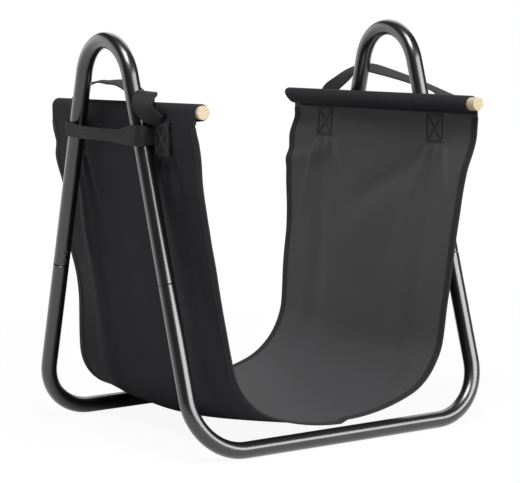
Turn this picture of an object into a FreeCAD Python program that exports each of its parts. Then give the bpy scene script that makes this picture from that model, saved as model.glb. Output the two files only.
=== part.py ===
import FreeCAD
import Part
import Sketcher
import math
import os
from FreeCAD import Placement, Rotation, Vector

# Log holder: a stand of four bent tubes, with a canvas carrier hung between its two arches.
# The frame: +Z up, +X from the left arch to the right arch, the front at -Y, the floor at z 0.
# Lengths are millimetres and angles are degrees.

SIZES = [
    ("tube_diameter", 22, "outside of the bent tubes"),
    ("tube_wall", 1.2, "wall of the bent tubes"),
    ("arch_spacing", 460, "between the two arches, middle to middle"),
    ("arch_radius", 62, "bend at the top of an arch, on the tube's middle line"),
    ("leg_splay", 16.4, "lean of each leg from upright"),
    ("rail_spacing", 400, "between the two floor rails, middle to middle"),
    ("rail_bend_radius", 74, "bend from a floor rail up into a leg"),
    ("joint_height", 225, "seam between rail and arch, above the floor"),
    ("seam_chamfer", 0.5, "broken edges that show as the seam's groove"),
    ("neck_length", 45, "drawn-in end of a rail inside an arch leg"),
    ("neck_clearance", 0.1, "between neck and arch leg, all round"),
    ("neck_wall", 1.2, "wall of the drawn-in end"),
    ("neck_shoulder", 3, "length over which the rail's end is drawn in"),
    ("screw_diameter", 4, "joint screw's shank"),
    ("screw_head_diameter", 7.5, "joint screw's button head"),
    ("screw_head_height", 2.4, "joint screw's button head"),
    ("screw_clearance", 0.2, "between shank and drilled holes, all round"),
    ("first_screw", 8, "lower screw above the seam, along the leg"),
    ("screw_pitch", 12, "from one joint screw to the next"),
    ("nut_width", 7, "square nut inside the neck, across its flats"),
    ("nut_height", 3, "square nut inside the neck"),
    ("nut_clearance", 0.05, "between nut and screw, and nut and neck"),
    ("dowel_diameter", 18, "wooden dowel"),
    ("dowel_length", 400, "wooden dowel"),
    ("left_dowel_overhang", 6, "how far the left dowel stands out of its sleeve in front"),
    ("right_dowel_overhang", 22, "how far the right dowel stands out of its sleeve in front"),
    ("dowel_chamfer", 0.8, "broken edges of the dowel's ends"),
    ("dowel_clearance", 0.5, "between dowel and sleeve, all round"),
    ("dowel_spacing", 403, "between the middles of the two dowels"),
    ("dowel_toe", 3, "how far each dowel turns outwards at the front"),
    ("dowel_height", 437.5, "dowels above the floor, left and right together"),
    ("dowel_skew", 4.2, "how much higher the left dowel hangs than that, and lower the right one"),
    ("left_pitch_angle", 1.65, "how far the left dowel rises to the front"),
    ("right_pitch_angle", 0.65, "how far the right dowel rises to the front"),
    ("cloth_thickness", 1.5, "canvas"),
    ("sling_width", 400, "canvas, front edge to back edge"),
    ("sleeve_drop", 17, "from the dowel's middle down to the end of the sleeve's hem"),
    ("hem_height", 4.5, "doubled canvas below the sleeve"),
    ("panel_bend_drop", 42, "below the dowels, where the side panels start to lean inwards"),
    ("panel_bend_radius", 250, "curve from upright to leaning panel"),
    ("panel_lean_angle", 8.2, "lean of the side panels below that curve, halfway back"),
    ("lean_change_angle", 2.2, "how much more the panels lean at the front edge, and less at the back"),
    ("fold_length", 26, "how much lower the panel starts to lean under a handle tab"),
    ("fold_width", 30, "half the width of the fold under a handle tab"),
    ("corner_radius", 100, "curve from side panel to bottom"),
    ("bottom_radius", 330, "curve of the sling's bottom"),
    ("edge_bottom", 27, "lowest point of the sling's front and back edges"),
    ("sling_sag", 14, "how much lower the sling hangs in its middle"),
    ("binding_width", 10, "edge tape on each face of the canvas"),
    ("binding_thickness", 0.6, "edge tape"),
    ("binding_clearance", 0.1, "between edge tape and canvas"),
    ("webbing_thickness", 1.6, "handles and hanging straps"),
    ("handle_width", 38, "webbing of the handles"),
    ("strap_width", 20, "webbing of the hanging straps"),
    ("sewn_gap", 0.1, "between layers that are sewn together"),
    ("tab_spacing", 240, "between the two sewn tabs of a handle"),
    ("tab_drop", 58, "sewn tab, from the dowel's height down"),
    ("tab_rise", 8, "sewn tab, from the dowel's height up"),
    ("left_handle_height", 32, "middle of the left grip above the ends of its tabs, slumped"),
    ("right_handle_height", 58, "middle of the right grip above the ends of its tabs, stretched"),
    ("handle_bend", 25, "turn from a handle's arm into its grip"),
    ("handle_gap", 1.4, "between a tab's end and the handle's arm that turns above it"),
    ("left_handle_angle", 38, "left handle's lean at rest, over its sleeve"),
    ("right_handle_angle", 70, "right handle's lean at rest, outside its arch"),
    ("left_arms_angle", 0, "how much more upright the left handle's back arm stands"),
    ("right_arms_angle", 22, "how much more upright the right handle's back arm stands"),
    ("left_roll_angle", 50, "roll of the webbing from the left handle's arms to its grip"),
    ("right_roll_angle", 20, "roll of the webbing from the right handle's arms to its grip"),
    ("strap_drop", 26.5, "hanging straps below the dowels"),
    ("strap_clearance", 0.35, "between hanging straps and legs"),
    ("strap_bend", 9, "corner of a hanging strap round a leg"),
    ("strap_fold", 2, "fold of a hanging strap at the edge of a tab"),
]

FOLD_STEPS = 3
BEND_STEPS = 6
GRIP_STEPS = 3
LEFT, RIGHT = -1, 1
FRONT, BACK = -1, 1
SIDES = (("left", LEFT), ("right", RIGHT))
ENDS = (("front", FRONT), ("back", BACK))

doc = FreeCAD.newDocument("log_holder")
sheet = doc.addObject("Spreadsheet::Sheet", "Sizes")
for row, (alias, value, words) in enumerate(SIZES, start=1):
    sheet.set("A%d" % row, words)
    sheet.set("B%d" % row, str(value))
    sheet.setAlias("B%d" % row, alias)
doc.recompute()


def size(alias):
    return float(sheet.get(alias))


def bind(thing, target, formula):
    thing.setExpression(target, formula)


def hold(sketch, formula, *constraint):
    value = float(sketch.evalExpression(formula))
    if constraint[0] == "Angle":
        value = math.radians(value)
    index = sketch.addConstraint(Sketcher.Constraint(*constraint, value))
    bind(sketch, "Constraints[%d]" % index, formula)


def sketch_on(body, role, name):
    sketch = body.newObject("Sketcher::SketchObject", name)
    plane = [feature for feature in body.Origin.OriginFeatures if feature.Role == role][0]
    sketch.AttachmentSupport = [(plane, "")]
    sketch.MapMode = "FlatFace"
    return sketch


def mirror_across(body, role, features):
    plane = [feature for feature in body.Origin.OriginFeatures if feature.Role == role][0]
    mirrored = body.newObject("PartDesign::Mirrored", body.Name + "_mirrored")
    mirrored.Originals = features
    mirrored.MirrorPlane = (plane, [""])
    body.Tip = mirrored


def flat_circle(x, y, radius):
    return Part.Circle(Vector(x, y, 0), Vector(0, 0, 1), radius)


def flat_line(start, end):
    return Part.LineSegment(Vector(*start, 0), Vector(*end, 0))


def flat_arc(centre, radius, start_degrees, end_degrees):
    circle = flat_circle(*centre, radius)
    return Part.ArcOfCircle(circle, math.radians(start_degrees), math.radians(end_degrees))


def ring_section(sketch, outer, inner, x=None, y=None):
    # Two circles about one centre, on the origin unless a formula moves it.
    for formula in (outer, inner):
        index = sketch.addGeometry(flat_circle(1, 1, 1))
        hold(sketch, formula, "Diameter", index)
        for direction, offset in (("DistanceX", x), ("DistanceY", y)):
            if offset:
                hold(sketch, offset, direction, -1, 1, index, 3)
            else:
                axis = -2 if direction == "DistanceX" else -1
                sketch.addConstraint(Sketcher.Constraint("PointOnObject", index, 3, axis))


def pipe_along(body, section, path, edge_count):
    pipe = body.newObject("PartDesign::AdditivePipe", body.Name + "_pipe")
    pipe.Profile = section
    pipe.Spine = (path, ["Edge%d" % number for number in range(1, edge_count + 1)])
    doc.recompute()
    return pipe


tube_radius = size("tube_diameter") / 2
splay = math.radians(size("leg_splay"))
bore = "Sizes.tube_diameter - 2 * Sizes.tube_wall"
neck_outside = bore + " - 2 * Sizes.neck_clearance"
neck_inside = neck_outside + " - 2 * Sizes.neck_wall"
nut_front = "sqrt(((%s) / 2)^2 - (Sizes.nut_width / 2)^2) - Sizes.nut_clearance - Sizes.nut_height" % neck_inside
leg_length = "(Sizes.joint_height - Sizes.tube_diameter / 2) / cos(Sizes.leg_splay)"
sleeve_radius = size("dowel_diameter") / 2 + size("dowel_clearance") + size("cloth_thickness")
sleeve_outside = "Sizes.dowel_diameter / 2 + Sizes.dowel_clearance + Sizes.cloth_thickness"
strap_seat = "(%s + Sizes.sewn_gap)" % sleeve_outside
tab_seat = size("webbing_thickness") + 2 * size("sewn_gap") + sleeve_radius
nodes = []


def add_node(thing, label):
    thing.Label = label
    nodes.append(thing)


def side_word(side):
    return "right" if side == RIGHT else "left"


def side_frame(side):
    # A dowel's middle, with Y along the dowel: each turns outwards and rises to the front.
    height = size("dowel_height") - side * size("dowel_skew")
    middle = Vector(side * size("dowel_spacing") / 2, 0, height)
    toe = Rotation(Vector(0, 0, 1), side * size("dowel_toe"))
    pitch = Rotation(Vector(1, 0, 0), -size(side_word(side) + "_pitch_angle"))
    return Placement(middle, toe * pitch)


def leg_half_span(height):
    # How far a leg's middle line is from the middle of the arch, at a height.
    return size("rail_spacing") / 2 - (height - tube_radius) * math.tan(splay)


def leg_frame(side, end, along):
    # A place on a leg's middle line, measured up from the seam, with Z pointing
    # square out of the leg towards the arch's other leg.
    seam = leg_half_span(size("joint_height"))
    y = end * (seam - along * math.sin(splay))
    z = size("joint_height") + along * math.cos(splay)
    out = Vector(0, -end * math.cos(splay), -math.sin(splay))
    return Placement(Vector(side * size("arch_spacing") / 2, y, z), Rotation(Vector(0, 0, 1), out))


def screw_places(side, end):
    steps = (0, size("screw_pitch"))
    return [leg_frame(side, end, size("first_screw") + step) for step in steps]


def drill(tube, places, label):
    # Cuts the screw holes through one wall of a tube.
    drills = []
    for number, place in enumerate(places):
        cutter = doc.addObject("Part::Cylinder", "%s_drill_%d" % (label, number))
        bind(cutter, "Radius", "Sizes.screw_diameter / 2 + Sizes.screw_clearance")
        bind(cutter, "Height", "Sizes.tube_diameter")
        cutter.Placement = place
        drills.append(cutter)
    group = doc.addObject("Part::Compound", label + "_drills")
    group.Links = drills
    drilled = doc.addObject("Part::Cut", label)
    drilled.Base = tube
    drilled.Tool = group
    add_node(drilled, label)


def chamfer_ring(body, feature, centre, radius):
    # Breaks the one circular edge of a feature with this centre and radius.
    for number, edge in enumerate(feature.Shape.Edges, start=1):
        curve = edge.Curve
        if not isinstance(curve, Part.Circle) or abs(curve.Radius - radius) > 1e-4:
            continue
        if curve.Center.distanceToPoint(centre) < 1e-3:
            chamfer = body.newObject("PartDesign::Chamfer", body.Name + "_chamfer")
            chamfer.Base = (feature, ["Edge%d" % number])
            bind(chamfer, "Size", "Sizes.seam_chamfer")
            doc.recompute()
            return chamfer


def make_arch(label, side):
    # Half an arch, from the top of its bend down to the seam, then mirrored.
    body = doc.addObject("PartDesign::Body", label + "_tube")
    path = sketch_on(body, "YZ_Plane", label + "_path")
    radius = size("arch_radius")
    foot = size("rail_spacing") / 2
    bend_height = tube_radius + (foot - radius / math.cos(splay)) / math.tan(splay)
    touch = (radius * math.cos(splay), bend_height + radius * math.sin(splay))
    seam = (leg_half_span(size("joint_height")), size("joint_height"))
    path.addGeometry(flat_arc((0, bend_height), radius, size("leg_splay"), 90))
    path.addGeometry(flat_line(touch, seam))
    path.addGeometry(Part.Point(Vector(foot, tube_radius, 0)), True)
    path.addConstraint(Sketcher.Constraint("PointOnObject", 0, 3, -2))
    path.addConstraint(Sketcher.Constraint("PointOnObject", 0, 2, -2))
    path.addConstraint(Sketcher.Constraint("Tangent", 0, 1, 1, 1))
    path.addConstraint(Sketcher.Constraint("PointOnObject", 2, 1, 1))
    hold(path, "Sizes.arch_radius", "Radius", 0)
    hold(path, "Sizes.rail_spacing / 2", "DistanceX", -1, 1, 2, 1)
    hold(path, "Sizes.tube_diameter / 2", "DistanceY", -1, 1, 2, 1)
    hold(path, "Sizes.joint_height", "DistanceY", -1, 1, 1, 2)
    hold(path, "Sizes.leg_splay - 90", "Angle", 1)
    section = sketch_on(body, "XZ_Plane", label + "_section")
    top = "Sizes.tube_diameter / 2 + Sizes.arch_radius"
    top += " + (Sizes.rail_spacing / 2 - Sizes.arch_radius / cos(Sizes.leg_splay)) / tan(Sizes.leg_splay)"
    ring_section(section, "Sizes.tube_diameter", bore, y=top)
    doc.recompute()
    pipe = pipe_along(body, section, path, 2)
    broken = chamfer_ring(body, pipe, Vector(0, *seam), tube_radius)
    mirror_across(body, "XZ_Plane", [pipe])
    body.Tip.TransformMode = "Whole shape"
    bind(body, "Placement.Base.x", "%d * Sizes.arch_spacing / 2" % side)
    doc.recompute()
    places = screw_places(side, FRONT) + screw_places(side, BACK)
    drill(body, places, label)


def make_rail(label, end):
    # Half a rail, from the middle of its floor run up to the seam and its neck, then mirrored.
    body = doc.addObject("PartDesign::Body", label + "_tube")
    path = sketch_on(body, "XZ_Plane", label + "_path")
    reach = size("arch_spacing") / 2
    radius = size("rail_bend_radius")
    rise = (size("joint_height") - tube_radius) / math.cos(splay)
    path.addGeometry(flat_line((0, 0), (reach - radius, 0)))
    path.addGeometry(flat_arc((reach - radius, radius), radius, -90, 0))
    path.addGeometry(flat_line((reach, radius), (reach, rise)))
    path.addConstraint(Sketcher.Constraint("Coincident", 0, 1, -1, 1))
    path.addConstraint(Sketcher.Constraint("Horizontal", 0))
    path.addConstraint(Sketcher.Constraint("Tangent", 0, 2, 1, 1))
    path.addConstraint(Sketcher.Constraint("Tangent", 1, 2, 2, 1))
    path.addConstraint(Sketcher.Constraint("Vertical", 2))
    hold(path, "Sizes.rail_bend_radius", "Radius", 1)
    hold(path, "Sizes.arch_spacing / 2", "DistanceX", -1, 1, 2, 2)
    hold(path, leg_length, "DistanceY", -1, 1, 2, 2)
    section = sketch_on(body, "YZ_Plane", label + "_section")
    ring_section(section, "Sizes.tube_diameter", bore)
    doc.recompute()
    pipe = pipe_along(body, section, path, 3)
    features = [pipe]
    stages = (
        ("shoulder", "Sizes.tube_diameter", leg_length + " - Sizes.neck_shoulder", "Sizes.neck_shoulder"),
        ("neck", neck_outside, leg_length + " - Sizes.neck_shoulder", "Sizes.neck_shoulder + Sizes.neck_length"),
    )
    for stage, outside, start, length in stages:
        ring = sketch_on(body, "XY_Plane", "%s_%s_ring" % (label, stage))
        bind(ring, "AttachmentOffset.Base.z", start)
        ring_section(ring, outside, neck_inside, x="Sizes.arch_spacing / 2")
        doc.recompute()
        pad = body.newObject("PartDesign::Pad", "%s_%s" % (label, stage))
        pad.Profile = ring
        bind(pad, "Length", length)
        doc.recompute()
        features.append(pad)
    chamfer_ring(body, features[-1], Vector(reach, 0, rise), tube_radius)
    mirror_across(body, "YZ_Plane", features)
    body.Tip.TransformMode = "Whole shape"
    body.Placement = Placement(Vector(0, 0, 0), Rotation(Vector(1, 0, 0), end * size("leg_splay")))
    bind(body, "Placement.Base.y", "%d * Sizes.rail_spacing / 2" % end)
    bind(body, "Placement.Base.z", "Sizes.tube_diameter / 2")
    doc.recompute()
    places = screw_places(LEFT, end) + screw_places(RIGHT, end)
    drill(body, places, label)


def make_screw():
    # A button-headed screw: its head sits on the tube's outside, its shank ends in the nut.
    body = doc.addObject("PartDesign::Body", "joint_screw")
    profile = sketch_on(body, "XZ_Plane", "joint_screw_profile")
    shank = size("screw_diameter") / 2
    head = size("screw_head_diameter") / 2
    seat = tube_radius + size("nut_clearance")
    crown = seat + size("screw_head_height")
    tip = tube_radius / 2
    points = [(0, tip), (shank, tip), (shank, seat), (head, seat)]
    for start, stop in zip(points, points[1:]):
        profile.addGeometry(flat_line(start, stop))
    rim = (head, (seat + crown) / 2)
    profile.addGeometry(flat_line(points[-1], rim))
    profile.addGeometry(flat_line(rim, (0, crown)))
    profile.addGeometry(flat_line((0, crown), points[0]))
    for number in range(6):
        profile.addConstraint(Sketcher.Constraint("Coincident", number, 2, (number + 1) % 6, 1))
    profile.addConstraint(Sketcher.Constraint("PointOnObject", 0, 1, -2))
    profile.addConstraint(Sketcher.Constraint("PointOnObject", 5, 1, -2))
    for number in (0, 2):
        profile.addConstraint(Sketcher.Constraint("Horizontal", number))
    for number in (1, 3):
        profile.addConstraint(Sketcher.Constraint("Vertical", number))
    seat_formula = "Sizes.tube_diameter / 2 + Sizes.nut_clearance"
    hold(profile, "Sizes.screw_diameter / 2", "DistanceX", -1, 1, 1, 1)
    hold(profile, "Sizes.screw_head_diameter / 2", "DistanceX", -1, 1, 3, 1)
    hold(profile, seat_formula, "DistanceY", -1, 1, 2, 1)
    hold(profile, "Sizes.screw_head_height / 2", "DistanceY", 3, 1, 3, 2)
    hold(profile, "Sizes.screw_head_height", "DistanceY", 3, 1, 5, 1)
    hold(profile, nut_front, "DistanceY", -1, 1, 0, 1)
    doc.recompute()
    turned = body.newObject("PartDesign::Revolution", "joint_screw_turned")
    turned.Profile = profile
    turned.ReferenceAxis = (profile, ["V_Axis"])
    turned.Angle = 360
    doc.recompute()
    return body


def make_nut():
    plate = doc.addObject("Part::Box", "nut_plate")
    bind(plate, "Length", "Sizes.nut_width")
    bind(plate, "Width", "Sizes.nut_width")
    bind(plate, "Height", "Sizes.nut_height")
    bind(plate, "Placement.Base.x", "-Sizes.nut_width / 2")
    bind(plate, "Placement.Base.y", "-Sizes.nut_width / 2")
    bind(plate, "Placement.Base.z", nut_front)
    hole = doc.addObject("Part::Cylinder", "nut_hole")
    bind(hole, "Radius", "Sizes.screw_diameter / 2 + Sizes.nut_clearance")
    bind(hole, "Height", "Sizes.tube_diameter")
    nut = doc.addObject("Part::Cut", "joint_nut")
    nut.Base = plate
    nut.Tool = hole
    doc.recompute()
    return nut


def make_fasteners():
    # Two screws and two nuts at each leg joint.
    for kind, master in (("screws", make_screw()), ("nuts", make_nut())):
        for side_name, side in SIDES:
            for end_name, end in ENDS:
                label = "%s_%s_%s" % (side_name, end_name, kind)
                group = doc.addObject("Part::Feature", label)
                copies = [master.Shape.transformed(place.Matrix) for place in screw_places(side, end)]
                group.Shape = Part.makeCompound(copies)
                add_node(group, label)


def make_dowel(label, side):
    body = doc.addObject("PartDesign::Body", label)
    circle = sketch_on(body, "XZ_Plane", label + "_circle")
    circle.addGeometry(flat_circle(0, 0, size("dowel_diameter") / 2))
    circle.addConstraint(Sketcher.Constraint("Coincident", 0, 3, -1, 1))
    hold(circle, "Sizes.dowel_diameter", "Diameter", 0)
    doc.recompute()
    rod = body.newObject("PartDesign::Pad", label + "_rod")
    rod.Profile = circle
    bind(rod, "Length", "Sizes.dowel_length")
    doc.recompute()
    rims = []
    for number, edge in enumerate(rod.Shape.Edges, start=1):
        if isinstance(edge.Curve, Part.Circle):
            rims.append("Edge%d" % number)
    chamfer = body.newObject("PartDesign::Chamfer", label + "_chamfer")
    chamfer.Base = (rod, rims)
    bind(chamfer, "Size", "Sizes.dowel_chamfer")
    back_end = size("dowel_length") - size("sling_width") / 2 - size(label + "_overhang")
    body.Placement = side_frame(side) * Placement(Vector(0, back_end, 0), Rotation())
    add_node(body, label)


def mirror_copy(source, name):
    copy = doc.addObject("Part::Mirroring", name)
    copy.Source = source
    copy.Normal = Vector(1, 0, 0)
    return copy


def dowel_at(side, y):
    # A dowel's middle line at one depth, with x counted outwards.
    along = side_frame(side).Rotation.multVec(Vector(0, 1, 0))
    place = side_frame(side).Base + along * (y / along.y)
    return Vector(side * place.x, y, place.z)


def sling_curve(side, y, fold, bottom, offset):
    # One half of the sling's section, from the start of its bend to the middle of its bottom, moved outwards
    # by offset: a bend, a leaning line, a corner and the bottom, all tangent. x is counted outwards.
    dowel = dowel_at(side, y)
    panel_x = dowel.x + sleeve_radius - size("cloth_thickness") / 2
    bend_height = dowel.z - size("panel_bend_drop") - fold
    lean_share = -2 * y / size("sling_width")
    lean = math.radians(size("panel_lean_angle") + lean_share * size("lean_change_angle"))
    bend = size("panel_bend_radius")
    corner = size("corner_radius")
    floor = size("bottom_radius")
    bend_middle = Vector(panel_x - bend, 0, bend_height)
    floor_middle = Vector(0, 0, bottom + floor)
    outward = Vector(math.cos(lean), 0, -math.sin(lean))
    down = Vector(-math.sin(lean), 0, -math.cos(lean))
    bend_end = bend_middle + outward * bend
    gap = bend_end - outward * corner - floor_middle
    slide = gap.dot(down)
    run = -slide + math.sqrt(slide ** 2 - gap.dot(gap) + (floor - corner) ** 2)
    corner_middle = bend_end - outward * corner + down * run
    corner_end_way = (corner_middle - floor_middle).normalize()
    flat = Vector(1, 0, 0)
    sunk = Vector(0, 0, -1)

    def halfway(way_one, way_two):
        return (way_one + way_two).normalize()

    points = [
        bend_middle + flat * (bend + offset),
        bend_middle + halfway(flat, outward) * (bend + offset),
        bend_middle + outward * (bend + offset),
        corner_middle + outward * (corner + offset),
        corner_middle + halfway(outward, corner_end_way) * (corner + offset),
        corner_middle + corner_end_way * (corner + offset),
        floor_middle + sunk * (floor + offset),
    ]
    return [point + Vector(0, y, 0) for point in points]


def across(point):
    return Vector(-point.x, point.y, point.z)


def trough_edges(y, fold, bottom, offset):
    # One face of the sling's trough, from the right bend's start to the left bend's start.
    right = sling_curve(RIGHT, y, fold, bottom, offset)
    left = [across(point) for point in sling_curve(LEFT, y, fold, bottom, offset)]
    curves = [Part.Arc(right[0], right[1], right[2]), Part.LineSegment(right[2], right[3]),
              Part.Arc(right[3], right[4], right[5]), Part.Arc(right[5], right[6], left[5]),
              Part.Arc(left[5], left[4], left[3]), Part.LineSegment(left[3], left[2]),
              Part.Arc(left[2], left[1], left[0])]
    return [curve.toShape() for curve in curves], right[0], across(left[0])


def make_edge(points):
    if len(points) == 2:
        return Part.makeLine(*points)
    return Part.Arc(*points).toShape()


def closed_wire(y, fold, bottom, thickness, top):
    # A closed section of the sling across the frame. top gives the edges that join its two faces over each end.
    outer, outer_right, outer_left = trough_edges(y, fold, bottom, thickness / 2)
    inner, inner_right, inner_left = trough_edges(y, fold, bottom, -thickness / 2)
    right_end = [make_edge(points) for points in top(RIGHT, outer_right, inner_right)]
    left_end = []
    for points in top(LEFT, outer_left, inner_left):
        left_end.append(make_edge([across(point) for point in points]))
    return Part.Wire(outer + left_end + inner[::-1] + right_end[::-1])


def sleeve_top(side, outer_top, inner_top):
    # The sleeve: up the outside, round the dowel, down to the hem and its doubled canvas.
    middle = dowel_at(side, outer_top.y)
    hem = middle.z - size("sleeve_drop")
    cloth = size("cloth_thickness")
    hem_x = middle.x + sleeve_radius - 2 * cloth
    hem_top = Vector(hem_x, middle.y, hem + size("hem_height"))
    reach = hem_top - middle
    leave = math.atan2(reach.z, reach.x) - math.acos(sleeve_radius / reach.Length) + 2 * math.pi

    def on_sleeve(angle):
        return middle + Vector(math.cos(angle), 0, math.sin(angle)) * sleeve_radius

    last = on_sleeve(leave)
    hem_low = Vector(hem_x, middle.y, hem)
    hem_step = Vector(hem_x + cloth, middle.y, hem)
    return [[outer_top, on_sleeve(0)],
            [on_sleeve(0), on_sleeve(leave / 4), on_sleeve(leave / 2)],
            [on_sleeve(leave / 2), on_sleeve(leave * 3 / 4), last],
            [last, hem_top], [hem_top, hem_low], [hem_low, hem_step], [hem_step, inner_top]]


def straight_top(side, outer_top, inner_top):
    # A square end just below the hem, for the edge tape.
    height = dowel_at(side, outer_top.y).z - size("sleeve_drop") - size("binding_clearance")
    outer_end = Vector(outer_top.x, outer_top.y, height)
    inner_end = Vector(inner_top.x, inner_top.y, height)
    return [[outer_top, outer_end], [outer_end, inner_end], [inner_end, inner_top]]


def edge_margin():
    # The straight strip along each edge, under the binding.
    return size("binding_width") + 2 * size("cloth_thickness")


def sling_stations():
    # From front to back: place, how much lower the panel starts to lean, and height of the bottom.
    half = size("sling_width") / 2
    plain = half - edge_margin()
    tab = size("tab_spacing") / 2
    places = [half, plain, 0]
    for step in range(-FOLD_STEPS, FOLD_STEPS + 1):
        places.append(tab + size("fold_width") * step / FOLD_STEPS)
    places.append((tab - size("fold_width")) / 2)
    stations = []
    for place in sorted(set(places) | {-place for place in places}):
        off = min(abs(abs(place) - tab) / size("fold_width"), 1)
        fold = size("fold_length") * (1 + math.cos(math.pi * off)) / 2
        sag = size("sling_sag") * max(0, 1 - (place / plain) ** 2)
        stations.append((place, fold, size("edge_bottom") - sag))
    return stations


def make_sling():
    wires = [closed_wire(y, fold, bottom, size("cloth_thickness"), sleeve_top)
             for y, fold, bottom in sling_stations()]
    cloth = doc.addObject("Part::Feature", "sling_cloth")
    cloth.Shape = Part.makeLoft(wires, True, True)
    bores = []
    for side_name, side in SIDES:
        bore = doc.addObject("Part::Cylinder", side_name + "_sleeve_bore")
        bind(bore, "Radius", "Sizes.dowel_diameter / 2 + Sizes.dowel_clearance")
        bind(bore, "Height", "2 * Sizes.sling_width")
        along = Placement(Vector(0, size("sling_width"), 0), Rotation(Vector(1, 0, 0), 90))
        bore.Placement = side_frame(side) * along
        bores.append(bore)
    both = doc.addObject("Part::Compound", "sleeve_bores")
    both.Links = bores
    sling = doc.addObject("Part::Cut", "sling")
    sling.Base = cloth
    sling.Tool = both
    add_node(sling, "sling")


def make_binding(label, end):
    # Tape folded over one edge of the canvas, from hem to hem: two straight strips of the sling's own section,
    # one inside the other, set against the edge's slant.
    half = size("sling_width") / 2
    gap = size("binding_clearance")
    tape = size("binding_thickness")

    def strip(first, last, room):
        wires = []
        for y in (end * first, end * last):
            wires.append(closed_wire(y, 0, size("edge_bottom"), size("cloth_thickness") + 2 * room, straight_top))
        return Part.makeLoft(wires, True, True)

    inner = half - size("binding_width")
    outside = strip(inner, half + gap + tape, gap + tape)
    inside = strip(inner - tape, half + gap, gap)
    binding = doc.addObject("Part::Feature", label)
    binding.Shape = outside.cut(inside)
    add_node(binding, label)


def make_tabs(label, side):
    # The two sewn ends of a handle, flat over the ends of the hanging strap.
    boxes = []
    near = tab_seat if side == RIGHT else -tab_seat - size("webbing_thickness")
    for end_name, end in ENDS:
        box = doc.addObject("Part::Box", "%s_%s" % (label, end_name))
        bind(box, "Length", "Sizes.webbing_thickness")
        bind(box, "Width", "Sizes.handle_width")
        bind(box, "Height", "Sizes.tab_drop + Sizes.tab_rise")
        corner = Vector(near, (end * size("tab_spacing") - size("handle_width")) / 2, -size("tab_drop"))
        box.Placement = side_frame(side) * Placement(corner, Rotation())
        boxes.append(box)
    group = doc.addObject("Part::Compound", label)
    group.Links = boxes
    add_node(group, label)


def handle_wire(u, w, turn, twist):
    # Webbing's section at (u, w) in the loop's plane: turn is how far the arm has bent towards
    # the grip, twist how far the webbing has rolled from lying in that plane to square with it.
    radial = Vector(0, math.cos(turn), math.sin(turn))
    square = Vector(1, 0, 0)
    wide = (radial * math.cos(twist) + square * math.sin(twist)) * (size("handle_width") / 2)
    through = (square * math.cos(twist) - radial * math.sin(twist)) * (size("webbing_thickness") / 2)
    middle = Vector(0, u, w)
    return [middle + wide + through, middle - wide + through,
            middle - wide - through, middle + wide - through]


def make_handle(label, side):
    # A webbing loop: its arms lean over above the tabs, and roll as they bend into the grip.
    word = side_word(side)
    half = size("tab_spacing") / 2
    bend = size("handle_bend")
    rise = size(label + "_height") - bend
    roll = math.radians(size(word + "_roll_angle"))
    stations = [(half, size("handle_gap"), 0, 0)]
    for step in range(BEND_STEPS + 1):
        share = step / BEND_STEPS
        turn = math.pi / 2 * share
        place = (half - bend * (1 - math.cos(turn)), rise + bend * math.sin(turn))
        stations.append((*place, turn, roll * share))
    for step in range(GRIP_STEPS):
        stations.append(((half - bend) * (1 - (step + 1) / GRIP_STEPS), rise + bend, math.pi / 2, roll))
    arm = [handle_wire(*station) for station in stations]
    other = [[Vector(corner.x, -corner.y, corner.z) for corner in corners] for corners in arm[:-1]]
    depths = [station[0] for station in stations]
    depths += [-depth for depth in depths[-2::-1]]
    wires = []
    for depth, corners in zip(depths, arm + other[::-1]):
        lean = size(label + "_angle") - size(word + "_arms_angle") * depth / half
        over = Rotation(Vector(0, 1, 0), lean)
        corners = [over.multVec(corner) for corner in corners]
        wires.append(Part.makePolygon(corners + corners[:1]))
    handle = doc.addObject("Part::Feature", label)
    handle.Shape = Part.makeLoft(wires, True, True)
    foot = Vector(side * (tab_seat + size("webbing_thickness") / 2), 0, size("tab_rise"))
    handle.Placement = side_frame(side) * Placement(foot, Rotation())
    add_node(handle, label)


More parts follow.
